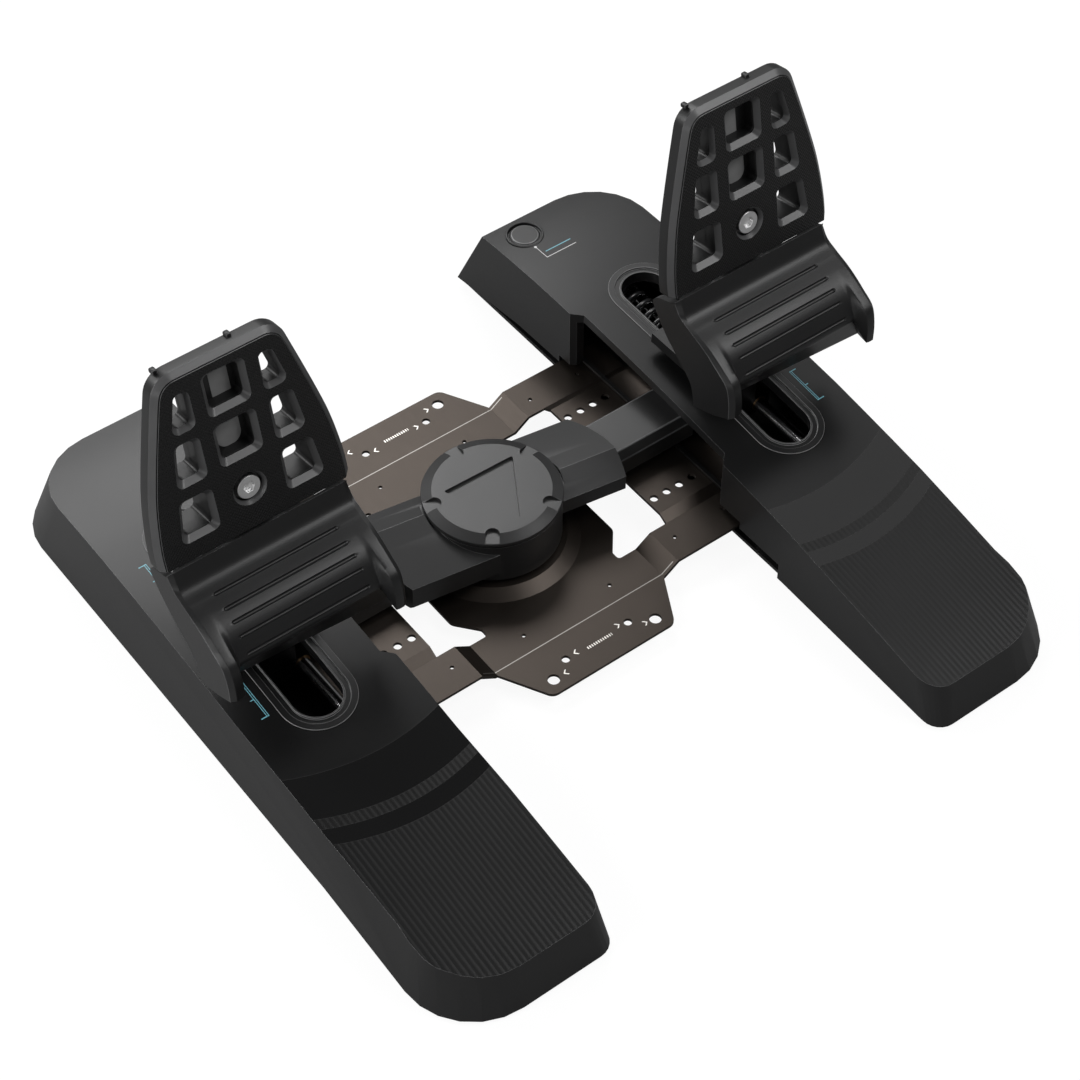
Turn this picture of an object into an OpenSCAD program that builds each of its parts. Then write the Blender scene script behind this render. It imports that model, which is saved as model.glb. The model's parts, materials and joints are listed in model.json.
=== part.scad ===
/* [Layout] */
// Distance between the centre lines of the two pedals
pedal_spacing = 320; // [310:1:335]
// How far each housing can be set in towards the hub
width_travel = 27.5; // [0:0.5:27.5]
// Angle that the rocker swings each way from the middle
swing_angle = 14; // [5:0.5:14]
// Running gap between flat faces of pieces that slide
slide_gap = 0.5; // [0.3:0.1:0.8]
// Running gap round a shaft in its own bush, measured on the radius
shaft_gap = 0.05; // [0.02:0.01:0.09]

/* [Base plate] */
// Thickness of the steel sheet
sheet_t = 2; // [1.5:0.1:2.5]
// Height of the middle sheet's top face above the floor
plate_top = 8; // [7:0.5:10]
// Reach of the two tongues in front of and behind the hub
tongue_reach = 112; // [110:1:120]
// Half width of a tongue where the side strips leave it
tongue_half = 58; // [57:0.5:62]
// Half width of a tongue at its rounded end
tongue_tip_half = 42; // [41:0.5:48]
// Height that the side strips stand above the middle sheet
strip_rise = 7; // [6:0.5:9]
// Length of the bend between the middle sheet and a side strip
bend_run = 10; // [8:0.5:12]
// Distance from the middle to the outer edge of the side strips
strip_reach = 82.6; // [81:0.2:83.6]
// Distance from the middle to the inner edge of the side strips
strip_inner = 57; // [55:0.5:60]
// Height that the raised panels stand above the side strips
panel_rise = 3.3; // [2:0.1:4]
// Distance from the hub axis to the inner edge of the raised panels
panel_inner = 80; // [79:0.5:82]
// Length of hidden wing beyond the inner wall of a housing
wing_cover = 28; // [20:1:30]
// Distance between two holes of a width setting row
row_pitch = 9.2; // [8:0.1:9.4]
// Number of holes in a width setting row
row_count = 4; // [2:1:4]
// Radius of a hole in a width setting row
row_hole_r = 2.4; // [1.5:0.1:2.8]
// Distance from the middle to a width setting row
row_offset = 40.2; // [38:0.1:42]
// Spacing across the part of the outer fixing holes
fix_outer_w = 70.6; // [66:0.1:72]
// Spacing along the part of the outer fixing holes
fix_outer_l = 206.4; // [200:0.1:208]
// Radius of the outer fixing holes
fix_outer_r = 3.5; // [2.5:0.1:4]
// Spacing across the part of the inner fixing holes
fix_inner_w = 43.2; // [38:0.1:46]
// Spacing along the part of the inner fixing holes
fix_inner_l = 192; // [186:0.1:196]
// Radius of the inner fixing holes
fix_inner_r = 2.4; // [1.5:0.1:3]
// Outer radius of the pressed boss round the hub
boss_r = 50; // [48:0.5:52]
// Radius of the flat top of the pressed boss
boss_flat_r = 42.5; // [41:0.5:45]
// Height of the pressed boss above the middle sheet
boss_h = 4.5; // [3.5:0.1:6]

/* [Hub] */
// Radius of the steel post
post_r = 10; // [8:0.5:11]
// Radius of the post's flange under the boss
flange_r = 34; // [30:0.5:38]
// Thickness of the post's flange
flange_t = 4; // [3:0.2:4.4]
// Wall of the two bushes
bush_t = 3; // [2:0.2:4]
// Length of each bush
bush_l = 6; // [4:0.5:7]
// Radius of the drum
drum_r = 39.4; // [38:0.2:41]
// Gap between the boss and the drum
drum_lift = 2.5; // [2:0.1:3.5]
// Height of the drum
drum_h = 27; // [26:0.2:29]
// Wall of the bearing boss inside the drum
bearing_wall = 4; // [3:0.2:4.5]
// Height of the shadow gap under the cap
cap_gap = 1; // [0.6:0.1:1.6]
// Radius of the cap
cap_r = 40; // [38:0.2:42]
// Radius of the cap's flat top
cap_flat_r = 33.7; // [30:0.1:36]
// Height of the cap's rim below its bevel
cap_rim_h = 2.6; // [2:0.1:4]
// Height of the cap's bevel
cap_bevel_h = 2.4; // [1.5:0.1:3]
// Number of notches round the cap
notch_count = 5; // [3:1:8]
// Radius of a notch
notch_r = 3.8; // [2:0.1:5]

/* [Rocker arms] */
// Angle that the sleeves slant across the arms
sleeve_slant = 9.2; // [0:0.1:10]
// Distance from the hub axis to the rounded end of a sleeve
sleeve_reach = 77; // [74:0.5:78]
// Distance from the sleeve's ridge to its middle
ridge_offset = 14.9; // [12:0.1:18]
// Height of the sleeve's ridge above the top of the tube
ridge_h = 7; // [6:0.1:9]
// Distance from the sleeve's middle to its low edge
low_edge = 24.6; // [23:0.1:28]
// Distance from the sleeve's middle to its high edge
high_edge = 33; // [28:0.5:34]
// Depth of the low edge below the top of the tube
low_edge_drop = 1.8; // [1:0.1:2.4]
// Height of the high edge above the top of the tube
high_edge_h = 1.5; // [1:0.1:3]
// Half width of a tube's flat top
tube_top_half = 13.4; // [11:0.1:14]
// Half width of a tube
tube_half = 17.2; // [16:0.1:17.6]
// Height of a tube
tube_h = 16.9; // [15:0.1:17.5]
// Height of the chamfer along a tube's top edges
tube_chamfer = 5; // [3:0.1:6]
// Wall of a tube
tube_wall = 2.2; // [1.6:0.1:3]
// Gap between a tube and its sleeve
tube_gap = 0.3; // [0.2:0.05:0.5]
// Length of tube held in the sleeve at the widest setting
tube_grip = 28; // [20:1:29]
// Half width of a drive fork
fork_half = 12; // [11.5:0.1:12.5]
// Half width of the gap in a drive fork
fork_gap = 7.4; // [7.3:0.1:8]
// Reach of a drive fork beyond the drive pin
fork_tip = 12; // [10:0.5:13]
// Length of a drive fork's gap on the hub side of the pin
fork_root = 10; // [8:0.5:11]
// Radius of the drive pin
pin_r = 3.5; // [2.5:0.1:3.5]

/* [Housings] */
// Width of a housing from the pedal's centre line to its inner wall
house_in = 48.5; // [47:0.5:50]
// Width of a housing from the pedal's centre line to its outer wall
house_out = 47.5; // [46:0.5:50]
// Distance from the hub axis to the toe end
toe_reach = 191; // [187:1:200]
// Distance from the hub axis to the heel end
heel_reach = 253.5; // [246:0.5:260]
// Height of a housing's crown
crown_h = 61.3; // [60:0.1:64]
// Distance from the hub axis to the middle of the crown's long curve
crown_y = 130; // [125:1:135]
// Radius of the crown's long curve
crown_r = 2000; // [1900:10:2300]
// Distance from the hub axis to where the crown turns down to the toe
toe_blend_y = 75; // [70:1:85]
// Radius of the crown's curve at the toe
toe_crown_r = 800; // [750:10:1200]
// How far the toe wall leans back
toe_lean = 31.5; // [24:0.5:33]
// How far the heel wall leans at the height of the crown
heel_lean = 21.5; // [14:0.5:24]
// How far the lower edge flares outward at the heel
heel_flare = 3.5; // [1:0.5:4]
// Wall of the upper shell
shell_t = 2.6; // [2:0.1:3]
// Gap between a housing's lower edge and the floor
floor_gap = 2; // [1:0.1:2.5]
// Thickness of the lower tray
tray_t = 2.5; // [2:0.1:3]
// Thickness of a rubber foot under a housing
foot_t = 1.5; // [1.1:0.1:2]
// Radius of a rubber foot under a housing
foot_r = 8; // [6:0.5:10]
// Gap between the tray and the shell round it
tray_gap = 0.3; // [0.2:0.05:0.5]
// Depth of the step in the inner edge above the arm
notch_depth = 6; // [4:0.5:7]
// Distance from the hub axis to the toe end of that step
notch_toe = 71; // [68:0.5:74]
// Distance from the hub axis to the heel end of that step
notch_heel = 63.5; // [60:0.5:68]
// Height of the inner wall's lower edge beside the plate
wall_clear = 13.5; // [10:0.5:14]
// Height of the inner wall's lower edge at the toe
wall_toe_clear = 4.6; // [2.5:0.1:6]
// Distance from the hub axis to where the inner wall's lower edge falls to the toe
wall_fall_y = 125; // [120:1:135]
// Distance from the hub axis to the step in the inner wall's lower edge
wall_step_y = 118; // [110:1:125]
// Height of the lip bar under the arm
lip_t = 1.8; // [1.4:0.1:2.4]

/* [Slot and slide] */
// Half length of the slot in the shell
slot_half_l = 84; // [82:0.5:86]
// Half width of the slot in the shell
slot_half_w = 20; // [19:0.5:22]
// Half length of the opening inside the bezel
opening_half_l = 78; // [76:0.5:80]
// Half width of the opening inside the bezel
opening_half_w = 14; // [13.5:0.1:15]
// Width of the bezel's flange on the shell
bezel_flange = 2; // [1.5:0.1:3]
// Height of the bezel's flange above the shell
bezel_proud = 0.6; // [0.4:0.1:1]
// Depth of the bezel below the crown of the slot
bezel_depth = 7; // [5:0.5:8]
// Radius of a guide rod
rod_r = 4; // [3:0.1:4.2]
// Distance from the pedal's centre line to a guide rod
rod_offset = 16; // [15.5:0.5:17]
// Distance from the hub axis to the rod block at the toe end
block_toe_y = 112; // [110:0.5:118]
// Distance from the hub axis to the rod block at the heel end
block_heel_y = 86; // [85:0.5:90]
// Length of a rod block along the rods
block_l = 10; // [8:0.5:12]
// Half width of a rod block
block_half = 24; // [22:0.5:26]
// Mean radius of a centring spring
spring_r = 11.5; // [10:0.1:12]
// Radius of a centring spring's wire
spring_wire_r = 1.5; // [1:0.1:1.6]
// Number of turns of a centring spring
spring_turns = 10; // [6:1:11]

/* [Carriages] */
// Half length of a carriage along the rods
carriage_half_l = 24; // [23:0.5:26]
// Half width of a carriage
carriage_half_w = 24; // [22:0.5:24]
// Wall of the carriage under its rods
carriage_wall = 2.5; // [2:0.1:2.8]
// Gap between the carriage and the raised panel below it
carriage_lift = 1.2; // [0.8:0.1:2]
// Half width of the neck that passes the slot
neck_half = 12.5; // [11:0.1:12.8]
// Wall of the neck at each end of the fork's space
neck_wall = 4.5; // [4:0.1:4.6]
// Height of the neck's shoulder above the floor
shoulder_h = 66; // [64:0.5:70]
// Distance from the pedal's centre to the brake axle, towards the user
axle_y = 12; // [10:0.5:14]
// Height of the brake axle above the floor
axle_h = 138; // [136:0.5:140]
// Radius of the brake axle
axle_r = 4; // [3:0.1:4.5]
// Half distance between the outer faces of the ears
ear_outer = 28; // [26:0.5:30]
// Thickness of an ear
ear_t = 6; // [5:0.5:7]
// Radius of the end of an ear
ear_r = 7; // [6.5:0.5:7.5]
// Half width of a heel rest
heel_half = 53; // [50:0.5:56]
// Wall of a heel rest
heel_t = 4; // [3:0.2:5]
// Half length of a groove in the heel rest
groove_half = 35.5; // [30:0.5:40]
// Radius of a groove in the heel rest
groove_r = 1.1; // [0.8:0.1:1.5]

/* [Pedals] */
// Angle that a pedal leans back at rest
pedal_lean = 10.5; // [8:0.5:14]
// Angle that a pedal turns when its brake is pressed
brake_angle = 16; // [5:1:18]
// Distance from the foot line of the openings up to the pedal's upper edge
pedal_h = 104.6; // [103:0.1:106]
// Distance from the foot line of the openings down to the pedal's lower edge
pedal_drop = 2; // [1:0.5:2.5]
// Half width of a pedal at its foot
pedal_half = 56; // [54:0.5:57]
// Radius of a pedal's upper corners
face_corner_r = 13; // [8:0.5:15]
// Thickness of the grip plate
grip_t = 4; // [3.5:0.1:5]
// Thickness of a pedal with its grip plate
pedal_t = 11; // [10:0.2:12]
// Width of the frame's rim round the grip plate
rim_w = 3.4; // [3.2:0.1:4]
// Depth of the frame's rim behind the grip face
rim_step = 1; // [0.6:0.1:1.4]
// How far the frame widens behind its rim
rim_grow = 1.5; // [1:0.1:1.7]
// Distance from the axle up to the foot of the grip face
face_rise = 10.1; // [10:0.1:12]
// Distance from the axle forward to the grip face
face_forward = 14.6; // [14:0.1:16]
// Height of the lower row of openings above the foot
row_low_v = 9; // [8:0.5:10]
// Height of the middle row of openings above the foot
row_mid_v = 41; // [40:0.5:42]
// Height of the upper row of openings above the foot
row_high_v = 71.5; // [71:0.5:72]
// Height of an opening
window_h = 25; // [22:0.5:26]
// Half width of the openings in the middle column
window_mid_half = 12.2; // [10:0.1:13]
// Width of the bars between the columns of openings
bar_w = 7.3; // [6:0.1:9]
// Half width across the side openings at the foot line
window_foot_half = 43; // [41:0.2:44]
// How far the outer edges of the side openings lean in over their height
window_lean = 13.7; // [10:0.1:15]
// How much more the outer edges of the uppermost side openings lean in
window_top_lean = 3; // [2:0.1:4]
// Height of the uppermost side openings
window_top_h = 21.5; // [18:0.1:23]
// Radius of the corners of an opening
window_r = 3.8; // [3:0.1:3.9]
// Height of the cap screw above the foot
screw_v = 22; // [20:0.5:24]
// Radius of the cap screw's head
screw_head_r = 6.5; // [5:0.1:7]
// Radius of the recess round the cap screw
recess_r = 9.5; // [8:0.1:10]
// Half width of the spine behind the openings
spine_half = 13.5; // [12.5:0.1:16]
// Depth of the spine behind the frame
spine_t = 7; // [5:0.5:8]
// Radius of the barrel round the axle
barrel_r = 7.5; // [6.5:0.1:8]
// Half length of the barrel
barrel_half = 10; // [8:0.5:11]
// Mean radius of a brake spring
brake_spring_r = 6.6; // [6:0.1:7]
// Radius of a brake spring's wire
brake_wire_r = 0.9; // [0.6:0.1:1]
// Number of turns of a brake spring
brake_turns = 4; // [2:1:4]

/* [Controls] */
// Radius of the mode button
button_r = 9; // [7:0.2:10]
// Travel of the mode button
button_travel = 1.2; // [0.8:0.1:1.5]
// Gap round the mode button
button_gap = 0.4; // [0.3:0.05:0.6]
// Distance from the inner wall to the mode button's centre
button_in = 20.6; // [19.5:0.1:26]
// Distance from the toe end to the mode button's centre
button_toe = 45.5; // [42:0.5:50]
// Length of the circuit board towards the toe from the button's centre
board_front = 20; // [17:0.5:21]
// Length of the circuit board towards the heel from the button's centre
board_back = 7; // [5:0.5:7.5]
// Thickness of the circuit board
board_t = 1.6; // [1.2:0.1:2]

/* [Hidden] */

plastic = [0.13, 0.13, 0.14];
dark_plastic = [0.07, 0.07, 0.08];
steel = [0.72, 0.73, 0.75];
sheet_metal = [0.36, 0.32, 0.3];
rubber = [0.05, 0.05, 0.05];

over = 1;
fine = 96;
arc_steps = 6;

strip_top = plate_top + strip_rise;
panel_top = strip_top + panel_rise;
boss_top = plate_top + boss_h;
pedal_x = pedal_spacing / 2;
wing_reach = pedal_x - house_in + wing_cover;

drum_z = boss_top + drum_lift;
drum_top = drum_z + drum_h;
cap_z = drum_top + cap_gap;
cap_top = cap_z + cap_rim_h + cap_bevel_h;
bush_r = post_r + shaft_gap + bush_t;
bearing_r = bush_r + bearing_wall;
post_shoulder_gap = 0.3;
circlip_t = 1.2;
circlip_w = 3;
sensor_t = 1.6;
magnet_t = 2;
upper_bush_z = drum_top - circlip_t - post_shoulder_gap - bush_l - magnet_t - sensor_t - circlip_t;
post_top = upper_bush_z + bush_l + 2 * post_shoulder_gap + circlip_t + circlip_t;

lip_z = panel_top + slide_gap;
tube_z = lip_z + lip_t + slide_gap;
tube_top = tube_z + tube_h;
carriage_end_gap = 8;
tube_end = pedal_x - rod_offset - rod_r - carriage_end_gap;
tube_start = sleeve_reach - tube_grip;

carriage_z = panel_top + carriage_lift;
rod_z = carriage_z + carriage_wall + rod_r;
rod_cover = 1.2;
carriage_h = 2 * rod_r + carriage_wall + rod_cover;
carriage_top = carriage_z + carriage_h;
fork_z = carriage_top + slide_gap;
neck_z = tube_top + slide_gap;
spring_drop = 2.5;
spring_z = neck_z - spring_drop;

button_y = toe_reach - button_toe;
house_l = toe_reach + heel_reach;
house_w = house_in + house_out;

blend_slope = (crown_y - toe_blend_y) / crown_r;
toe_crown_y = toe_blend_y + blend_slope * toe_crown_r;
toe_crown_h = crown_h - blend_slope * (crown_y - toe_crown_y) / 2;

// Height of the crown at a distance along the housing
function crown_z(y) = y < toe_blend_y
    ? crown_h - pow(y - crown_y, 2) / (2 * crown_r)
    : toe_crown_h - pow(y - toe_crown_y, 2) / (2 * toe_crown_r);

// Where the outer edge of the crown stands, as shares of the housing's length from
// the heel, and how far it leans in there, as shares of the housing's width
lean_shares = [[0.095, 0.152], [0.344, 0.067], [0.502, 0.041]];
toe_lean_share = 0.033;
heel_lean_share = 0.18;

function at_length(share) = share * house_l - heel_reach;

// Points of a round corner at b, between its neighbours a and c
function corner(a, b, c, r) = let(
    u = (a - b) / norm(a - b),
    v = (c - b) / norm(c - b),
    half = acos(max(-1, min(1, u * v))) / 2,
    centre = b + (u + v) / norm(u + v) * r / sin(half),
    start = b + u * r / tan(half) - centre,
    turn = sign(u[0] * v[1] - u[1] * v[0]) * (180 - 2 * half)
) r == 0 ? [b] : [
    for (i = [0 : arc_steps]) let(t = -turn * i / arc_steps)
        centre + [start[0] * cos(t) - start[1] * sin(t), start[0] * sin(t) + start[1] * cos(t)]
];

// An outline whose corners are rounded by the radii given
function rounded(points, radii) = [
    for (i = [0 : len(points) - 1])
        each corner(
            points[(i + len(points) - 1) % len(points)],
            points[i],
            points[(i + 1) % len(points)],
            radii[i]
        )
];

module right_pedal() translate([pedal_x, 0, 0]) children();
module left_side() mirror([1, 0, 0]) children();
module four_corners(w, l) {
    for (sx = [-1, 1], sy = [-1, 1])
        translate([sx * w / 2, sy * l / 2, 0]) children();
}

// A bar along X whose cross-section is drawn as [y, z] points
module along_x(x0, x1) {
    translate([x0, 0, 0])
        rotate([90, 0, 90])
            linear_extrude(x1 - x0) children();
}

// A bar along Y whose cross-section is drawn as [x, z] points
module along_y(y0, y1) {
    translate([0, y1, 0])
        rotate([90, 0, 0])
            linear_extrude(y1 - y0) children();
}

// A tube swept along a helix about Z, with a short straight run at each end
function helix_rings(mean_r, wire_r, pitch, turns) = let(
    rings = turns * 8,
    rise = pitch / 360
) [
    for (i = [-1 : rings + 1]) let(
        k = max(0, min(rings, i)),
        a = 360 * k / 8,
        radial = [cos(a), sin(a), 0],
        along = [-mean_r * sin(a), mean_r * cos(a), pitch / (2 * PI)],
        tangent = along / norm(along),
        side = cross(tangent, radial),
        centre = mean_r * radial + [0, 0, rise * a] + (i - k) * 2 * wire_r * tangent
    ) [
        for (j = [0 : 5])
            centre + wire_r * (cos(60 * j) * radial + sin(60 * j) * side)
    ]
];

function ring_faces(count) = concat(
    [for (i = [0 : count - 2], j = [0 : 5]) each let(
        a = 6 * i + j,
        b = 6 * i + (j + 1) % 6
    ) [[a, b, a + 6], [b, b + 6, a + 6]]],
    [for (j = [1 : 4]) [0, j + 1, j]],
    [for (j = [1 : 4]) let(e = 6 * (count - 1)) [e, e + j, e + j + 1]]
);

module helix(mean_r, wire_r, pitch, turns) {
    rings = helix_rings(mean_r, wire_r, pitch, turns);
    polyhedron([for (ring = rings) each ring], ring_faces(len(rings)), convexity = 10);
}

function helix_centre(mean_r, pitch, i) = [
    mean_r * cos(45 * i), mean_r * sin(45 * i), pitch * i / 8
];

// Least gap of a coil to itself, between rings that are at least half a turn apart
function helix_gap(mean_r, wire_r, pitch, turns) = min([
    for (k = [4 : 12])
        norm(helix_centre(mean_r, pitch, k) - helix_centre(mean_r, pitch, 0)) - 2 * wire_r
]);

// Base plate: one pressed steel sheet
function tongue_outline() = rounded(
    [
        [-tongue_tip_half, -tongue_reach], [tongue_tip_half, -tongue_reach],
        [tongue_half, -strip_reach], [tongue_half, -strip_inner],
        [tongue_half - window_bite, -strip_inner], [tongue_half - window_bite, -window_knee],
        [tongue_half - over, -window_shoulder], [tongue_half - over, window_shoulder],
        [tongue_half - window_bite, window_knee], [tongue_half - window_bite, strip_inner],
        [tongue_half, strip_inner], [tongue_half, strip_reach],
        [tongue_tip_half, tongue_reach], [-tongue_tip_half, tongue_reach],
        [-tongue_half, strip_reach], [-tongue_half, strip_inner],
        [-tongue_half + window_bite, strip_inner], [-tongue_half + window_bite, window_knee],
        [-tongue_half + over, window_shoulder], [-tongue_half + over, -window_shoulder],
        [-tongue_half + window_bite, -window_knee], [-tongue_half + window_bite, -strip_inner],
        [-tongue_half, -strip_inner], [-tongue_half, -strip_reach]
    ],
    [
        tip_r, tip_r, 0, 0, bite_r, bite_r, tip_r, tip_r, bite_r, bite_r, 0, 0,
        tip_r, tip_r, 0, 0, bite_r, bite_r, tip_r, tip_r, bite_r, bite_r, 0, 0
    ]
);
window_bite = 12;
window_knee = 51.5;
window_shoulder = 38;
tip_r = 6;
bite_r = 2;
pilot_r = 1.2;
pilot_reach = 69;
pilot_inner = 30;
pilot_near = 77.5;
pilot_far = 112.5;
panel_slope = 6;

module strip_section() {
    polygon([
        [tongue_half - over, plate_top - sheet_t], [tongue_half - over, plate_top],
        [tongue_half, plate_top], [tongue_half + bend_run, strip_top],
        [wing_reach, strip_top], [wing_reach, strip_top - sheet_t],
        [tongue_half + bend_run + over, strip_top - sheet_t],
        [tongue_half + over, plate_top - sheet_t]
    ]);
}

module panel_section() {
    flat = strip_inner - panel_slope;
    polygon([
        [-strip_inner, strip_top], [-flat, panel_top], [flat, panel_top], [strip_inner, strip_top],
        [strip_inner, strip_top - sheet_t], [flat, panel_top - sheet_t],
        [-flat, panel_top - sheet_t], [-strip_inner, strip_top - sheet_t]
    ]);
}

module plate_wing() {
    for (sy = [-1, 1])
        scale_y(sy) along_y(strip_inner, strip_reach) strip_section();
    along_x(panel_inner, wing_reach) panel_section();
}
module scale_y(s) mirror([0, s < 0 ? 1 : 0, 0]) children();

module boss_ring() {
    rotate_extrude($fn = fine)
        polygon([
            [post_r + slide_gap, boss_top], [boss_flat_r, boss_top],
            [boss_r, plate_top], [boss_r + over, plate_top],
            [boss_r + over, plate_top - sheet_t], [boss_r, plate_top - sheet_t],
            [boss_flat_r - over, boss_top - sheet_t], [post_r + slide_gap, boss_top - sheet_t]
        ]);
}

module base_plate() {
    color(sheet_metal) difference() {
        union() {
            translate([0, 0, plate_top - sheet_t])
                linear_extrude(sheet_t) difference() {
                    polygon(tongue_outline());
                    circle(r = boss_r + over / 2, $fn = fine);
                }
            plate_wing();
            left_side() plate_wing();
            boss_ring();
        }
        four_corners(fix_outer_w, fix_outer_l)
            cylinder(r = fix_outer_r, h = 2 * plate_top, $fn = fine);
        four_corners(fix_inner_w, fix_inner_l)
            cylinder(r = fix_inner_r, h = 2 * plate_top, $fn = fine);
        four_corners(2 * pilot_inner, 2 * pilot_reach)
            cylinder(r = pilot_r, h = 2 * plate_top, $fn = fine);
        for (x = [pilot_near, pilot_far])
            four_corners(2 * x, 2 * (pilot_reach - pilot_r))
                cylinder(r = pilot_r, h = 2 * panel_top, $fn = fine);
        for (i = [0 : row_count - 1])
            four_corners(2 * (panel_inner + row_pitch * (i + 1 / 2)), 2 * row_offset)
                cylinder(r = row_hole_r, h = 2 * panel_top, $fn = fine);
        for (a = [0 : 90 : 270])
            rotate([0, 0, a + 45])
                translate([post_screw_circle, 0, 0])
                    cylinder(r = post_screw_r, h = 2 * boss_top, $fn = fine);
    }
}
post_screw_circle = 24;
post_screw_r = 2;
post_screw_head_r = 3.6;
post_screw_head_h = 1.4;

// Rubber pads under the plate, the middle one under the post
pad_r = 7;
pad_x = 46;
pad_y = 74;
centre_pad_r = 28;
flange_z = boss_top - sheet_t - flange_t;

module base_feet() {
    color(rubber) {
        cylinder(r = centre_pad_r, h = flange_z, $fn = fine);
        four_corners(2 * pad_x, 2 * pad_y)
            cylinder(r = pad_r, h = plate_top - sheet_t, $fn = fine);
    }
}

// Steel post that carries the rocker
module hub_post() {
    groove_z = upper_bush_z + bush_l + post_shoulder_gap;
    color(steel) difference() {
        union() {
            translate([0, 0, flange_z]) cylinder(r = flange_r, h = flange_t, $fn = fine);
            translate([0, 0, flange_z]) cylinder(r = post_r, h = post_top - flange_z, $fn = fine);
            translate([0, 0, boss_top])
                cylinder(r = bush_r - over, h = drum_lift - post_shoulder_gap, $fn = fine);
        }
        for (a = [0 : 90 : 270])
            rotate([0, 0, a + 45])
                translate([post_screw_circle, 0, flange_z + over / 2])
                    cylinder(r = post_screw_r - shaft_gap, h = flange_t, $fn = fine);
        translate([0, 0, groove_z])
            rotate_extrude($fn = fine)
                translate([post_r - circlip_w / 2, 0]) square([circlip_w, circlip_t]);
    }
}

module hub_post_screws() {
    color(steel)
        for (a = [0 : 90 : 270])
            rotate([0, 0, a + 45])
                translate([post_screw_circle, 0, 0]) difference() {
                    union() {
                        translate([0, 0, boss_top])
                            cylinder(r = post_screw_head_r, h = post_screw_head_h, $fn = fine);
                        translate([0, 0, flange_z + over])
                            cylinder(
                                r = post_screw_r - 2 * shaft_gap,
                                h = boss_top - flange_z, $fn = fine
                            );
                    }
                    translate([0, 0, boss_top + post_screw_head_h / 2])
                        cylinder(r = post_screw_r, h = over, $fn = 6);
                }
}

// Ring that holds the rocker down on its post
module hub_circlip() {
    groove_z = upper_bush_z + bush_l + post_shoulder_gap;
    color(steel)
        translate([0, 0, groove_z + slide_gap / 10])
            rotate_extrude($fn = fine)
                translate([post_r - circlip_w / 2 + shaft_gap, 0])
                    square([circlip_w, circlip_t - slide_gap / 5]);
}

module hub_sensor() {
    color("darkgreen")
        translate([0, 0, post_top]) cylinder(r = post_r - over, h = sensor_t, $fn = fine);
}

// Rocker: the drum and its two slanted sleeves, cast in one piece
module tube_outline(grow) {
    polygon([
        [-tube_half - grow, tube_z - grow], [tube_half + grow, tube_z - grow],
        [tube_half + grow, tube_top - tube_chamfer + grow / 2],
        [tube_top_half + grow / 2, tube_top + grow],
        [-tube_top_half - grow / 2, tube_top + grow],
        [-tube_half - grow, tube_top - tube_chamfer + grow / 2]
    ]);
}

module sleeve() {
    foot_z = tube_z - tube_wall + tube_gap;
    intersection() {
        translate([sleeve_reach, 0, 0])
            rotate([0, 0, -sleeve_slant])
                translate([-2 * sleeve_reach, 0, 0])
                    along_x(sleeve_reach, 3 * sleeve_reach)
                        polygon([
                            [low_edge, tube_top - low_edge_drop], [low_edge, foot_z + tube_wall],
                            [low_edge - tube_wall, foot_z], [-tube_half - tube_wall, foot_z],
                            [-high_edge, tube_z + tube_h / 2],
                            [-high_edge, tube_top + high_edge_h],
                            [-ridge_offset, tube_top + ridge_h]
                        ]);
        cylinder(r = sleeve_reach, h = 2 * drum_top, $fn = 2 * fine);
        translate([0, -2 * high_edge, 0]) cube([2 * sleeve_reach, 4 * high_edge, 2 * drum_top]);
    }
}

module hub_body() {
    color(plastic) difference() {
        union() {
            difference() {
                union() {
                    sleeve();
                    rotate([0, 0, 180]) sleeve();
                }
                translate([0, 0, drum_top])
                    cylinder(r = cap_r + cap_moat, h = drum_h, $fn = fine);
            }
            translate([0, 0, drum_z]) cylinder(r = drum_r, h = drum_h, $fn = fine);
            translate([0, 0, drum_top - over])
                cylinder(r = cap_neck_r, h = cap_gap + over, $fn = fine);
        }
        difference() {
            along_x(-2 * sleeve_reach, 2 * sleeve_reach) tube_outline(tube_gap);
            cylinder(r = bearing_r, h = 2 * drum_top, $fn = fine);
        }
        translate([0, 0, upper_bush_z + bush_l])
            cylinder(r = cap_neck_r - cap_spigot_w, h = drum_h, $fn = fine);
        cylinder(r = post_r + bush_t / 2, h = 2 * drum_top, $fn = fine);
        translate([0, 0, drum_z - over]) cylinder(r = bush_r, h = bush_l + over, $fn = fine);
        translate([0, 0, upper_bush_z]) cylinder(r = bush_r, h = drum_h, $fn = fine);
    }
}
cap_neck_r = 36;
cap_spigot_w = 3;
cap_moat = 1.2;

module hub_bushes() {
    color("peru")
        for (z = [drum_z, upper_bush_z])
            translate([0, 0, z]) difference() {
                cylinder(r = bush_r, h = bush_l, $fn = fine);
                translate([0, 0, -over])
                    cylinder(r = post_r + shaft_gap, h = bush_l + 2 * over, $fn = fine);
            }
}

// Cap over the hub, with a bevel, notches and a three-sided recess
recess_side = 26.9;
recess_depth = 1.2;
recess_turn = -1.5;

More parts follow.
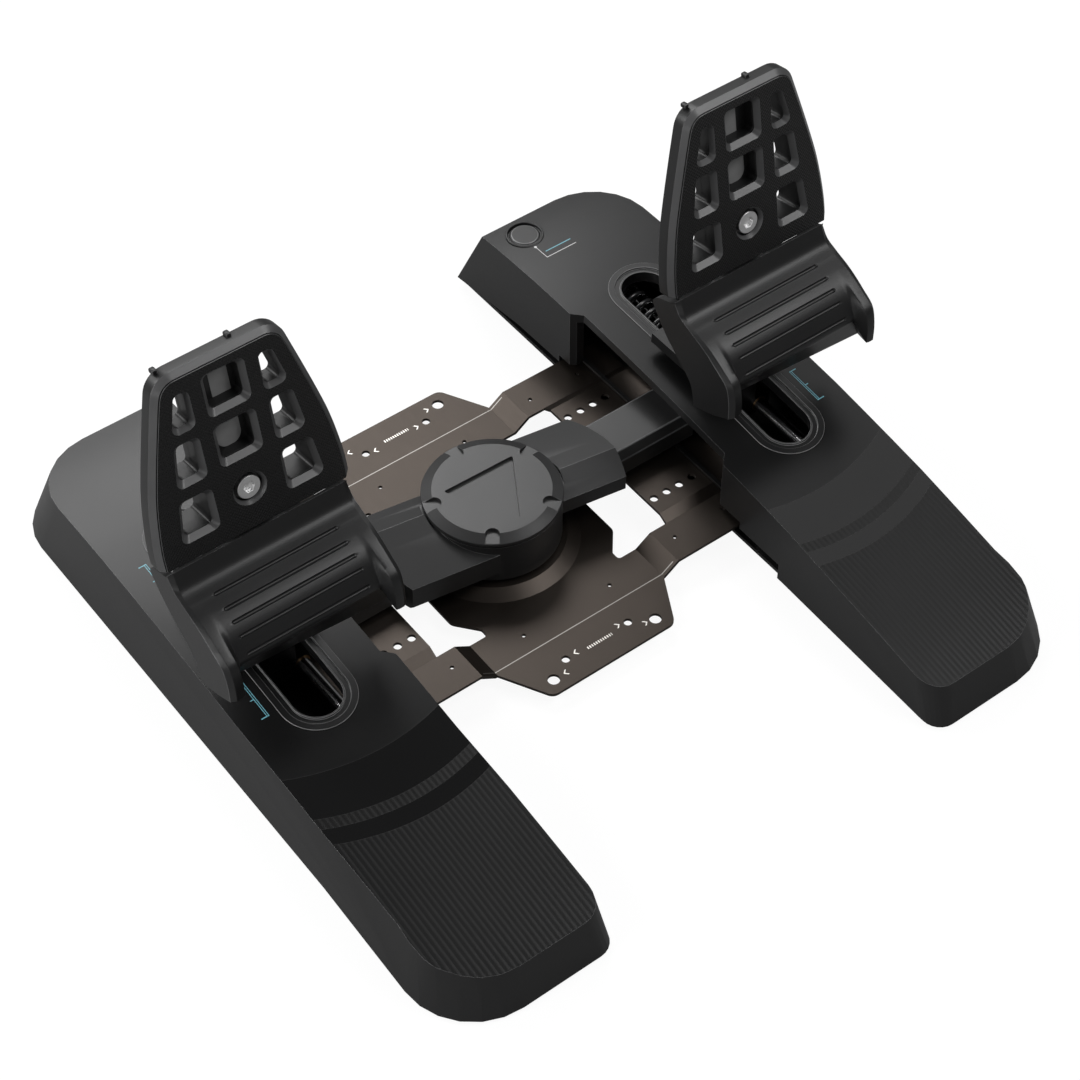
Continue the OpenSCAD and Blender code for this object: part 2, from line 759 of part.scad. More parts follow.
module hub_cap() {
    rim_top = cap_z + cap_rim_h;
    spigot_r = cap_neck_r - cap_spigot_w - tube_gap;
    color(plastic) difference() {
        rotate_extrude($fn = fine)
            polygon([
                [0, rim_top], [spigot_r - cap_spigot_w, rim_top],
                [spigot_r - cap_spigot_w, cap_z - cap_spigot_w],
                [spigot_r, cap_z - cap_spigot_w], [spigot_r, cap_z],
                [cap_r, cap_z], [cap_r, rim_top], [cap_flat_r, cap_top], [0, cap_top]
            ]);
        for (i = [0 : notch_count - 1])
            rotate([0, 0, 90 + 360 * i / notch_count])
                translate([cap_flat_r, 0, 0]) {
                    translate([0, 0, rim_top]) cylinder(r = notch_r, h = cap_bevel_h + over, $fn = fine);
                    translate([0, -notch_r, rim_top])
                        cube([cap_r, 2 * notch_r, cap_bevel_h + over]);
                }
        translate([0, 0, cap_top - recess_depth])
            rotate([0, 0, recess_turn])
                linear_extrude(cap_bevel_h)
                    polygon(rounded(
                        [for (a = [30, 150, 270]) recess_side * [cos(a), sin(a)]],
                        [over, over, over]
                    ));
    }
}

module hub_magnet() {
    color("dimgray")
        translate([0, 0, cap_z + cap_rim_h - magnet_t])
            cylinder(r = post_r / 2, h = magnet_t, $fn = fine);
}

// Arms: hollow tubes that slide in the sleeves, each with a drive fork at its end
module arm_tube() {
    color(plastic) difference() {
        along_x(tube_start, tube_end) tube_outline(0);
        along_x(tube_start - over, tube_end + over) tube_outline(-tube_wall);
    }
}

module drive_fork() {
    color(steel) difference() {
        union() {
            along_x(tube_end - 2 * fork_root, tube_end + over)
                tube_outline(-tube_wall - shaft_gap);
            translate([tube_end, -fork_half, fork_z])
                cube([pedal_x + fork_tip - tube_end, 2 * fork_half, tube_top - fork_z]);
        }
        translate([pedal_x - fork_root, -fork_gap, fork_z - over])
            cube([fork_root + 2 * fork_tip, 2 * fork_gap, tube_h]);
    }
}

// Housing outline at the floor and at the height of the crown, drawn in by an inset
function foot_outline(inset) = rounded(
    [
        [-house_in + inset, -heel_reach + inset], [house_out - inset, -heel_reach + inset],
        [house_out - inset, toe_reach - inset], [-house_in + inset, toe_reach - inset]
    ],
    [foot_in_r - inset, foot_out_r - inset, toe_out_r - inset, 0]
);

// The same at the heel, where the housing widens towards the floor
function heel_foot_outline(inset) = rounded(
    [
        [-house_in + inset, -flare_y], [-house_in - heel_flare + inset, -heel_reach + inset],
        [house_out + heel_flare - inset, -heel_reach + inset], [house_out - inset, -flare_y]
    ],
    [0, foot_in_r - inset, foot_out_r - inset, 0]
);

function heel_crown_outline(inset) = rounded(
    [
        [-house_in + inset, -flare_y], [-house_in + inset, -heel_reach + heel_lean + inset],
        [house_out - inset - heel_lean_share * house_w, -heel_reach + heel_lean + inset],
        [house_out - inset - lean_shares[0][1] * house_w, at_length(lean_shares[0][0])]
    ],
    [0, heel_in_r - inset, heel_out_r - inset, 0]
);
flare_y = wall_step_y + heel_flare;
foot_in_r = 11;
foot_out_r = 42;

function crown_outline(inset) = rounded(
    concat(
        [
            [-house_in + inset, -heel_reach + heel_lean + inset],
            [house_out - inset - heel_lean_share * house_w, -heel_reach + heel_lean + inset]
        ],
        [for (s = lean_shares) [house_out - inset - s[1] * house_w, at_length(s[0])]],
        [
            [house_out - inset - toe_lean_share * house_w, toe_reach - toe_lean - inset],
            [-house_in + inset, toe_reach - toe_lean - inset]
        ]
    ),
    [heel_in_r - inset, heel_out_r - inset, 0, 0, 0, crown_toe_r - inset, 0]
);
heel_in_r = 18;
heel_out_r = 36;
toe_out_r = 38;
crown_toe_r = 38;

// Space under the crown's curve
module under_crown(inset) {
    along_x(-2 * house_in, 2 * house_out) {
        intersection() {
            translate([crown_y, crown_h - crown_r]) circle(r = crown_r - inset, $fn = 1440);
            translate([-2 * heel_reach, 0])
                square([2 * heel_reach + toe_blend_y + over / 10, 2 * crown_h]);
        }
        intersection() {
            translate([toe_crown_y, toe_crown_h - toe_crown_r])
                circle(r = toe_crown_r - inset, $fn = 720);
            translate([toe_blend_y, 0]) square([2 * toe_reach, 2 * crown_h]);
        }
    }
}

module housing_form(inset) {
    intersection() {
        union() {
            hull() {
                linear_extrude(over / 10) polygon(foot_outline(inset));
                translate([0, 0, crown_h]) linear_extrude(over / 10) polygon(crown_outline(inset));
            }
            hull() {
                linear_extrude(over / 10) polygon(heel_foot_outline(inset));
                translate([0, 0, crown_h])
                    linear_extrude(over / 10) polygon(heel_crown_outline(inset));
            }
        }
        under_crown(inset);
    }
}

module obround(half_l, half_w, h) {
    hull_l = half_l - half_w;
    for (s = [-1, 1])
        translate([0, s * hull_l, 0]) cylinder(r = half_w, h = h, $fn = fine);
    translate([-half_w, -hull_l, 0]) cube([2 * half_w, 2 * hull_l, h]);
}

// Places of the screws that hold shell and tray, from the pedal's centre
screw_in = 11;
screw_out = 18;
screw_heel = 46;
screw_places = [
    [-house_in + screw_in, -heel_reach + screw_heel], [house_out - screw_out, -heel_reach + screw_heel],
    [-house_in + screw_in, -wall_step_y + screw_in], [house_out - screw_in, -wall_step_y + screw_in],
    [-house_in + screw_in, block_toe_y - screw_in], [house_out - screw_in, toe_reach - screw_heel - screw_in]
];
pillar_r = 4.2;
house_screw_r = 1.5;
house_head_r = 2.8;
house_head_h = 1.6;
house_screw_l = 12;
tray_z = foot_t;
tray_top = tray_z + tray_t;

module shell_pillars() {
    intersection() {
        for (p = screw_places)
            translate([p[0], p[1], tray_top + slide_gap])
                difference() {
                    cylinder(r = pillar_r, h = crown_h, $fn = fine);
                    translate([0, 0, -over])
                        cylinder(r = house_screw_r + shaft_gap, h = house_screw_l + over, $fn = fine);
                }
        under_crown(shell_t / 2);
    }
}

// The cut in the inner wall that lets the swinging arm and the base plate in
module arm_window() {
    x0 = -house_in - over;
    depth = notch_depth + 2 * shell_t + 2 * over;
    translate([x0, -strip_reach - slide_gap - over, -over])
        cube([depth, 2 * (strip_reach + slide_gap + over), lip_z + over]);
    intersection() {
        translate([x0, -notch_heel, -over]) cube([depth, notch_heel + notch_toe, crown_h]);
        under_crown(window_drop);
    }
    translate([x0, -wall_step_y, -over]) cube([depth, wall_step_y, wall_clear + over]);
    along_x(x0, x0 + depth)
        polygon([
            [0, -over], [toe_reach, -over], [toe_reach, wall_toe_clear],
            [wall_fall_y, wall_clear - over], [strip_reach, wall_clear], [0, wall_clear]
        ]);
}
window_drop = 6;

// The inner edge steps outward above the arm
module edge_notch(inset) {
    translate([0, 0, -over])
        linear_extrude(2 * crown_h)
            polygon([
                [-house_in - over, -notch_heel - notch_depth / 2 - inset],
                [-house_in + inset, -notch_heel - notch_depth / 2 - inset],
                [-house_in + notch_depth + inset, -notch_heel + notch_depth / 2 - inset],
                [-house_in + notch_depth + inset, notch_toe - notch_depth / 2 + inset],
                [-house_in + inset, notch_toe + notch_depth / 2 + inset],
                [-house_in - over, notch_toe + notch_depth / 2 + inset]
            ]);
}

module shell_cavity() {
    difference() {
        housing_form(shell_t);
        edge_notch(shell_t);
    }
}

module upper_shell(with_button) {
    color(plastic) {
        difference() {
            housing_form(0);
            difference() {
                shell_cavity();
                shell_pillars();
            }
            edge_notch(0);
            arm_window();
            translate([-2 * house_in, -2 * heel_reach, -over])
                cube([4 * house_in, 4 * heel_reach, floor_gap + over]);
            obround(slot_half_l, slot_half_w, 2 * crown_h);
            if (with_button) {
                translate([button_in - house_in, button_y, 0])
                    cylinder(r = button_r + button_gap, h = 2 * crown_h, $fn = fine);
                socket_cut(tray_gap);
            }
        }
    }
}

// Lower tray with the lip bar under the arm and the rests under the plate's strips
rest_y = 70;
rest_w = 8;
lip_x = 7.5;
lip_w = 2.5;

module lower_tray(with_socket) {
    inset = shell_t + tray_gap;
    rest_l = wing_cover + width_travel;
    post_y = strip_reach + slide_gap + over;
    color(dark_plastic) difference() {
        union() {
            intersection() {
                housing_form(inset);
                translate([-2 * house_in, -2 * heel_reach, tray_z])
                    cube([4 * house_in, 4 * heel_reach, tray_t]);
            }
            for (s = [-1, 1])
                translate([-house_in + lip_x + lip_w, s * rest_y - rest_w / 2, tray_z + over])
                    cube([rest_l, rest_w, strip_top - sheet_t - slide_gap - tray_z - over]);
            translate([-house_in + lip_x, -post_y - block_l / 2, lip_z])
                cube([lip_w, 2 * post_y + block_l, lip_t]);
            for (s = [-1, 1])
                translate([-house_in + lip_x, s * (post_y + block_l / 4) - block_l / 4, tray_z + over])
                    cube([lip_w, block_l / 2, lip_z + lip_t - tray_z - over]);
        }
        for (p = screw_places)
            translate([p[0], p[1], 0]) {
                cylinder(r = house_screw_r + tray_gap, h = crown_h, $fn = fine);
                cylinder(r = house_head_r + tray_gap, h = tray_z + house_head_h, $fn = fine);
            }
    }
}

module slot_bezel() {
    ring_in = opening_half_w;
    color(dark_plastic) intersection() {
        difference() {
            union() {
                obround(slot_half_l - tray_gap, slot_half_w - tray_gap, 2 * crown_h);
                difference() {
                    obround(slot_half_l + bezel_flange, slot_half_w + bezel_flange, 2 * crown_h);
                    under_crown(0);
                }
            }
            obround(opening_half_l, opening_half_w, 2 * crown_h);
            difference() {
                obround(slot_half_l - bezel_flange, slot_half_w - bezel_flange, 2 * crown_h);
                obround(opening_half_l + bezel_flange / 2, ring_in + bezel_flange / 2, 2 * crown_h);
                under_crown(bezel_proud);
            }
            under_crown(bezel_depth);
        }
        under_crown(-bezel_proud);
    }
}

module guide_rods() {
    color(steel)
        for (s = [-1, 1])
            translate([s * rod_offset, block_toe_y + block_l - over, rod_z])
                rotate([90, 0, 0])
                    cylinder(
                        r = rod_r,
                        h = block_toe_y + block_heel_y + 2 * (block_l - over), $fn = fine
                    );
}

module rod_blocks() {
    color(dark_plastic) difference() {
        for (y = [-block_heel_y - block_l, block_toe_y])
            translate([-block_half, y, tray_top])
                cube([
                    2 * block_half, block_l,
                    (y > 0 ? spring_z + spring_r : rod_z + 2 * rod_r) - tray_top
                ]);
        for (s = [-1, 1])
            translate([s * rod_offset, block_toe_y + block_l - over, rod_z])
                rotate([90, 0, 0])
                    cylinder(
                        r = rod_r,
                        h = block_toe_y + block_heel_y + 2 * (block_l - over), $fn = fine
                    );
    }
}

// Coil between the carriage and the toe block, with its ends on both
spring_seat = 0.3;
spring_pitch = (block_toe_y - carriage_half_l - 2 * (spring_wire_r + spring_seat)) / spring_turns;
echo("Least gap of a centring spring to itself",
    helix_gap(spring_r, spring_wire_r, spring_pitch, spring_turns));

module centring_spring() {
    color("#202022")
        translate([0, carriage_half_l + spring_wire_r + spring_seat, spring_z])
            rotate([-90, 0, 0])
                helix(spring_r, spring_wire_r, spring_pitch, spring_turns);
}

foot_in = 20;
foot_places = [
    [-house_in + foot_in, -heel_reach + foot_in], [house_out - foot_in, -heel_reach + foot_in],
    [-house_in + foot_in, toe_reach - 2 * foot_in], [house_out - foot_in, toe_reach - 2 * foot_in]
];

module housing_feet() {
    color(rubber)
        for (p = foot_places)
            translate([p[0], p[1], 0]) cylinder(r = foot_r, h = foot_t, $fn = fine);
}

module housing_screws() {
    color(steel)
        for (p = screw_places)
            translate([p[0], p[1], tray_z]) difference() {
                union() {
                    cylinder(r = house_head_r, h = house_head_h, $fn = fine);
                    cylinder(r = house_screw_r, h = house_screw_l - over, $fn = fine);
                }
                translate([0, 0, -over]) cylinder(r = house_screw_r, h = over + house_head_h / 2, $fn = 6);
            }
}

// Mode button, circuit board and cable socket of the right housing
button_dome = 0.8;
button_stem_r = 3;
board_z = 40;
socket_w = 9;
socket_h = 3.4;
socket_l = 8;
socket_x = -20;
socket_z = 9;

module mode_button() {
    face_z = crown_z(button_y);
    color(dark_plastic)
        translate([button_in - house_in, button_y, 0]) {
            translate([0, 0, face_z - 2 * button_travel - shell_t])
                cylinder(r = button_r, h = 2 * button_travel + shell_t, $fn = fine);
            translate([0, 0, face_z])
                cylinder(r1 = button_r, r2 = button_r - button_dome, h = button_dome, $fn = fine);
            translate([0, 0, board_z + board_t + button_travel + slide_gap])
                cylinder(
                    r = button_stem_r,
                    h = face_z - board_z - board_t - button_travel - slide_gap, $fn = fine
                );
            translate([0, 0, face_z - 2 * button_travel - shell_t - tray_gap])
                cylinder(r = button_r + button_dome, h = button_travel, $fn = fine);
        }
}

module circuit_board() {
    x0 = -house_in + shell_t + slide_gap;
    x1 = -block_half - slide_gap;
    y0 = button_y - board_back;
    leg_r = pillar_r / 2;
    color("darkgreen") {
        translate([x0, y0, board_z]) cube([x1 - x0, board_front + board_back, board_t]);
        for (x = [x0 + leg_r + over, x1 - leg_r - over])
            translate([x, button_y + board_front - leg_r - over, tray_top])
                cylinder(r = leg_r, h = board_z - tray_top, $fn = fine);
    }
}

function toe_wall_y(z) = toe_reach - toe_lean * z / crown_h;

module socket_cut(grow) {
    translate([socket_x - socket_w / 2 - grow, toe_wall_y(socket_z) - 2 * socket_l, socket_z - grow])
        cube([socket_w + 2 * grow, 4 * socket_l, socket_h + 2 * grow]);
}

module usb_socket() {
    wall = 0.6;
    y1 = toe_wall_y(socket_z + socket_h) - over / 2;
    color(steel) difference() {
        union() {
            translate([socket_x - socket_w / 2, y1 - socket_l, socket_z])
                cube([socket_w, socket_l, socket_h]);
            translate([socket_x - socket_w / 2, y1 - socket_l, tray_top])
                cube([socket_w, socket_l / 2, socket_z - tray_top + wall]);
        }
        translate([socket_x - socket_w / 2 + wall, y1 - socket_l + 2 * wall, socket_z + wall])
            cube([socket_w - 2 * wall, socket_l, socket_h - 2 * wall]);
    }
}

// Carriage that runs on the rods, with the fork's space above it
module carriage() {
    color(dark_plastic) difference() {
        translate([-carriage_half_w, -carriage_half_l, carriage_z])
            cube([2 * carriage_half_w, 2 * carriage_half_l, carriage_h]);
        for (s = [-1, 1])
            translate([s * rod_offset, carriage_half_l + over, rod_z])
                rotate([90, 0, 0])
                    cylinder(
                        r = rod_r + rod_bush_t, h = 2 * (carriage_half_l + over), $fn = fine
                    );
    }
}
rod_bush_t = 1;
rod_bush_l = 12;

module rod_bushes() {
    color("peru")
        for (s = [-1, 1], y = [-carriage_half_l, carriage_half_l - rod_bush_l])
            translate([s * rod_offset, y + rod_bush_l, rod_z])
                rotate([90, 0, 0])
                    difference() {
                        cylinder(r = rod_r + rod_bush_t, h = rod_bush_l, $fn = fine);
                        translate([0, 0, -over])
                            cylinder(r = rod_r + shaft_gap, h = rod_bush_l + 2 * over, $fn = fine);
                    }
}

module drive_pin() {
    color(steel)
        translate([0, 0, carriage_top])
            cylinder(r = pin_r, h = neck_z - carriage_top, $fn = fine);
}

// Post that stands on the carriage, passes the slot and carries the brake axle
post_waist = 14;
post_web = 10;
yoke_h = 10;
function post_front(z) = let(
    z0 = shoulder_h + post_waist,
    share = (z - z0) / (axle_h - 3 * ear_r - z0)
) [-carriage_half_l + share * (carriage_half_l - axle_y - ear_r), z];

module pedal_post() {
    ear_in = ear_outer - ear_t;
    color(dark_plastic) difference() {
        union() {
            for (s = [-1, 1])
                translate([
                    -neck_half, s * (carriage_half_l - neck_wall / 2) - neck_wall / 2, carriage_top
                ])
                    cube([2 * neck_half, neck_wall, neck_z - carriage_top + over]);
            translate([-neck_half, -carriage_half_l, neck_z])
                cube([2 * neck_half, 2 * carriage_half_l, shoulder_h - neck_z]);
            along_x(-ear_outer, ear_outer)
                polygon([
                    [-carriage_half_l, shoulder_h - over], [carriage_half_l, shoulder_h - over],
                    [carriage_half_l - over, shoulder_h + post_waist],
                    [-axle_y + ear_r, axle_h - 3 * ear_r],
                    [-axle_y - ear_r, axle_h - 3 * ear_r],
                    [-carriage_half_l, shoulder_h + post_waist]
                ]);
            for (s = [-1, 1])
                translate([s * (ear_in + ear_t / 2), 0, 0]) {
                    along_x(-ear_t / 2, ear_t / 2)
                        polygon([
                            [-axle_y - ear_r, axle_h], [-axle_y + ear_r, axle_h],
                            [-axle_y + ear_r, axle_h - 3 * ear_r - over],
                            [-axle_y - ear_r, axle_h - 3 * ear_r - over]
                        ]);
                    translate([-ear_t / 2, -axle_y, axle_h])
                        rotate([0, 90, 0]) cylinder(r = ear_r, h = ear_t, $fn = fine);
                }
        }
        translate([-2 * ear_outer, -axle_y, axle_h])
            rotate([0, 90, 0]) cylinder(r = axle_r, h = 4 * ear_outer, $fn = fine);
        for (s = [-1, 1])
            translate([s * (post_web + ear_outer) - ear_outer, -2 * carriage_half_l, shoulder_h + ear_t])
                cube([
                    2 * ear_outer, 4 * carriage_half_l,
                    axle_h - 3 * ear_r - yoke_h - shoulder_h - ear_t
                ]);
    }
}

// Heel rest: a curved scoop with a skirt at each side
// Profile points [y, z] are shares of the rest's depth from the pedal's face foot
// and of its height above the skirt's lowest point
rest_depth = 50.5;
rest_height = 61;
rest_back = 24.5;
rest_z = 87;
scoop_shares = [
    [0.01, 0.988], [0.11, 0.836], [0.277, 0.777], [0.453, 0.73], [0.592, 0.672],
    [0.707, 0.585], [0.81, 0.446], [0.83, 0.39], [0.812, 0.345]
];
skirt_shares = [
    [0.01, 0.988], [0.11, 0.87], [0.505, 0.72], [0.76, 0.64], [0.94, 0.51], [1.0, 0.262],
    [0.703, 0.082], [0.287, 0.0], [0.03, 0.213], [-0.248, 0.623], [-0.386, 0.754],
    [-0.3, 0.85], [-0.05, 0.93]
];
groove_shares = [0.277, 0.453, 0.592, 0.707, 0.81];

function rest_point(s) = [-rest_back - s[0] * rest_depth, rest_z + s[1] * rest_height];

module heel_rest() {
    outer = [for (s = scoop_shares) rest_point(s)];
    inner = [
        for (i = [len(outer) - 1 : -1 : 0])
            outer[i] + heel_t * (
                i < 2 ? [1, -0.3] : i < 6 ? [0.55, -0.85] : i < 8 ? [0.95, -0.3] : [0.95, 0.2]
            )
    ];
    color(plastic) difference() {
        union() {
            along_x(-heel_half + heel_t / 2, heel_half - heel_t / 2) polygon(concat(outer, inner));
            for (s = [-1, 1])
                translate([s * (heel_half - heel_t / 2), 0, 0])
                    along_x(-heel_t / 2, heel_t / 2)
                        polygon([for (p = skirt_shares) rest_point(p)]);
            along_x(-ear_outer + ear_t, ear_outer - ear_t)
                polygon([
                    post_front(axle_h - 3 * ear_r - yoke_h), post_front(axle_h - 3 * ear_r),
                    rest_point([0.4, 0.7]), rest_point([0.7, 0.52])
                ]);
        }
        for (i = [2 : 6])
            translate([0, outer[i][0], outer[i][1]])
                rotate([0, 90, 0])
                    translate([0, 0, -groove_half])
                        cylinder(r = groove_r, h = 2 * groove_half, $fn = 24);
    }
}

module brake_axle() {
    color(steel)
        translate([-ear_outer - over, -axle_y, axle_h])
            rotate([0, 90, 0]) cylinder(r = axle_r, h = 2 * (ear_outer + over), $fn = fine);
}

// Pedal pieces are drawn upright, with X across, Y into the depth and Z up along the
// face, from the middle of the foot of the grip face
module pedal_place() {
    translate([0, -axle_y, axle_h])
        rotate([-pedal_lean, 0, 0])
            translate([0, -face_forward, face_rise]) children();
}

module face_slab(y0, y1) {
    translate([0, y1, 0])
        rotate([90, 0, 0])
            linear_extrude(y1 - y0) children();
}

// Half width of the pedal, as shares of its half width, at shares of its height
outline_shares = [[0.1, 1], [0.25, 0.972], [0.4, 0.926], [0.55, 0.858], [0.7, 0.782], [1, 0.622]];
foot_corner_r = 3;

function pedal_outline(inset) = let(
    h = pedal_h + pedal_drop,
    side = [
        for (s = outline_shares)
            [s[1] * pedal_half - inset, s[0] * h - pedal_drop - (s[0] == 1 ? inset : 0)]
    ]
) rounded(
    concat(
        [[-pedal_half + inset, -pedal_drop + inset], [pedal_half - inset, -pedal_drop + inset]],
        side,
        [for (i = [len(side) - 1 : -1 : 0]) [-side[i][0], side[i][1]]]
    ),
    [
        foot_corner_r, foot_corner_r, 0, 0, 0, 0, 0, face_corner_r - inset,
        face_corner_r - inset, 0, 0, 0, 0, 0
    ]
);

function window_edge(v) = window_foot_half - window_lean * v / (row_high_v + window_h)
    - window_top_lean * max(0, v - row_high_v) / window_h;

function side_window(v, grow) = let(
    u0 = window_mid_half + bar_w - grow,
    v0 = v - grow,
    v1 = v + (v == row_high_v ? window_top_h : window_h) + grow
) rounded(
    [
        [u0, v0], [window_edge(v0) + grow, v0], [window_edge(v1) + grow, v1], [u0, v1]
    ],
    [window_r, window_r, window_r, window_r]
);

module windows(grow) {
    for (v = [row_low_v, row_mid_v, row_high_v], s = [0, 1])
        mirror([s, 0]) polygon(side_window(v, grow));
    for (v = [row_mid_v, row_high_v])
        polygon(rounded(
            [
                [-window_mid_half - grow, v - grow], [window_mid_half + grow, v - grow],
                [window_mid_half + grow, v + window_h + grow],
                [-window_mid_half - grow, v + window_h + grow]
            ],
            [window_r, window_r, window_r, window_r]
        ));
}

module grip_plate() {
    color(dark_plastic) pedal_place() difference() {
        face_slab(0, grip_t) difference() {
            polygon(pedal_outline(rim_w));
            windows(0);
        }
        translate([0, grip_t + over, screw_v])
            rotate([90, 0, 0]) cylinder(r = recess_r, h = grip_t + 2 * over, $fn = fine);
    }
}

nub_x = 20.4;
nub_shift = 9.8;
nub_w = 3;
nub_h = 2;
spine_neck_half = 9;

module pedal_frame(hand) {
    wide_foot = barrel_r - face_rise + 2 * over;
    color(plastic) pedal_place() difference() {
        union() {
            face_slab(rim_step, grip_t + over) difference() {
                polygon(pedal_outline(rim_grow));
                windows(0);
            }
            face_slab(grip_t, pedal_t) difference() {
                polygon(pedal_outline(0));
                windows(0);
            }
            translate([-spine_neck_half, pedal_t - over, -face_rise])
                cube([2 * spine_neck_half, spine_t + over, face_rise + row_low_v]);
            translate([-spine_half, pedal_t - over, wide_foot])
                cube([2 * spine_half, spine_t + over, row_high_v + window_h - wide_foot]);
            for (s = [-1, 1])
                translate([s * nub_x - hand * nub_shift - nub_w / 2, pedal_t - 2 * nub_h, pedal_h - over])
                    cube([nub_w, 2 * nub_h, nub_h + over]);
            translate([-barrel_half, face_forward, -face_rise])
                rotate([0, 90, 0]) cylinder(r = barrel_r, h = 2 * barrel_half, $fn = fine);
        }
        face_slab(rim_step - over, grip_t) polygon(pedal_outline(rim_w - tray_gap));
        translate([-2 * barrel_half, face_forward, -face_rise])
            rotate([0, 90, 0])
                cylinder(r = axle_r + shaft_gap, h = 4 * barrel_half, $fn = fine);
        translate([0, pedal_t + spine_t / 2, screw_v])
            rotate([90, 0, 0])
                cylinder(r = screw_head_r / 2 + shaft_gap, h = pedal_t + spine_t, $fn = fine);
    }
}

module cap_screw() {
    color(steel) pedal_place() difference() {
        union() {
            translate([0, grip_t, screw_v])
                rotate([90, 0, 0]) cylinder(r = screw_head_r, h = grip_t - over, $fn = fine);
            translate([0, pedal_t + over, screw_v])
                rotate([90, 0, 0])
                    cylinder(r = screw_head_r / 2, h = pedal_t - grip_t + 2 * over, $fn = fine);
        }
        translate([0, grip_t - over, screw_v])
            rotate([90, 0, 0]) cylinder(r = screw_head_r / 2, h = grip_t, $fn = 6);
    }
}

brake_pitch = (ear_outer - ear_t - barrel_half - 2 * brake_wire_r - 2 * spring_seat) / brake_turns;
echo("Least gap of a brake spring to itself",
    helix_gap(brake_spring_r, brake_wire_r, brake_pitch, brake_turns));

module brake_springs() {
    color(steel)
        for (s = [0, 1])
            mirror([s, 0, 0])
                translate([barrel_half + brake_wire_r + spring_seat, -axle_y, axle_h])
                    rotate([0, 90, 0])
                        helix(brake_spring_r, brake_wire_r, brake_pitch, brake_turns);
}

base_plate();
base_feet();
hub_post();
hub_post_screws();
hub_circlip();
hub_sensor();
hub_body();
hub_bushes();
hub_cap();
hub_magnet();
left_side() arm_tube();  // arm_tube_left
arm_tube();  // arm_tube_right
left_side() drive_fork();  // drive_fork_left
drive_fork();  // drive_fork_right
left_side() right_pedal() upper_shell(false);  // upper_shell_left
right_pedal() upper_shell(true);  // upper_shell_right
left_side() right_pedal() lower_tray(false);  // lower_tray_left
right_pedal() lower_tray(true);  // lower_tray_right
left_side() right_pedal() slot_bezel();  // slot_bezel_left
right_pedal() slot_bezel();  // slot_bezel_right
left_side() right_pedal() guide_rods();  // guide_rods_left
right_pedal() guide_rods();  // guide_rods_right
left_side() right_pedal() rod_blocks();  // rod_blocks_left
right_pedal() rod_blocks();  // rod_blocks_right
left_side() right_pedal() centring_spring();  // centring_spring_left
right_pedal() centring_spring();  // centring_spring_right
left_side() right_pedal() housing_feet();  // housing_feet_left
right_pedal() housing_feet();  // housing_feet_right
left_side() right_pedal() housing_screws();  // housing_screws_left
right_pedal() housing_screws();  // housing_screws_right
right_pedal() mode_button();
right_pedal() circuit_board();
right_pedal() usb_socket();
left_side() right_pedal() carriage();  // carriage_left
right_pedal() carriage();  // carriage_right
left_side() right_pedal() rod_bushes();  // rod_bushes_left
right_pedal() rod_bushes();  // rod_bushes_right
left_side() right_pedal() drive_pin();  // drive_pin_left
right_pedal() drive_pin();  // drive_pin_right
left_side() right_pedal() pedal_post();  // pedal_post_left
right_pedal() pedal_post();  // pedal_post_right
left_side() right_pedal() heel_rest();  // heel_rest_left
right_pedal() heel_rest();  // heel_rest_right
left_side() right_pedal() brake_axle();  // brake_axle_left
right_pedal() brake_axle();  // brake_axle_right
left_side() right_pedal() pedal_frame(-1);  // pedal_frame_left
right_pedal() pedal_frame(1);  // pedal_frame_right
left_side() right_pedal() grip_plate();  // grip_plate_left
right_pedal() grip_plate();  // grip_plate_right
left_side() right_pedal() cap_screw();  // cap_screw_left
right_pedal() cap_screw();  // cap_screw_right
left_side() right_pedal() brake_springs();  // brake_springs_left
right_pedal() brake_springs();  // brake_springs_right
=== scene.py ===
import json
import math

import bmesh
import bpy
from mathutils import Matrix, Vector


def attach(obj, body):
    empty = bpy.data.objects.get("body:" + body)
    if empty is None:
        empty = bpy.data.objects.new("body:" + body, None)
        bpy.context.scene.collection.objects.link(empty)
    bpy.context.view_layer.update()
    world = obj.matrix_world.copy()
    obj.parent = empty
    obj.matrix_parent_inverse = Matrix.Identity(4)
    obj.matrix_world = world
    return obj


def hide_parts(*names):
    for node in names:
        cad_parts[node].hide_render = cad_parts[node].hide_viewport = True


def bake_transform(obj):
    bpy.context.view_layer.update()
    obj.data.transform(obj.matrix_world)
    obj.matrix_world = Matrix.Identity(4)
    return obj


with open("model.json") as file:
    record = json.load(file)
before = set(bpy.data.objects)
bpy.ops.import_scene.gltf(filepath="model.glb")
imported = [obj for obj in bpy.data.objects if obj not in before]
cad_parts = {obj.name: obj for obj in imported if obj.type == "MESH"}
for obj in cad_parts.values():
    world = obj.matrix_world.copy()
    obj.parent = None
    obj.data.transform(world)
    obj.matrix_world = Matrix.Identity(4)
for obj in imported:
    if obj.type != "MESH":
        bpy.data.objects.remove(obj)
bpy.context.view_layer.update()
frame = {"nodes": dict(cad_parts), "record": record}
nodes = frame["nodes"]
sides = {"left": -1, "right": 1}

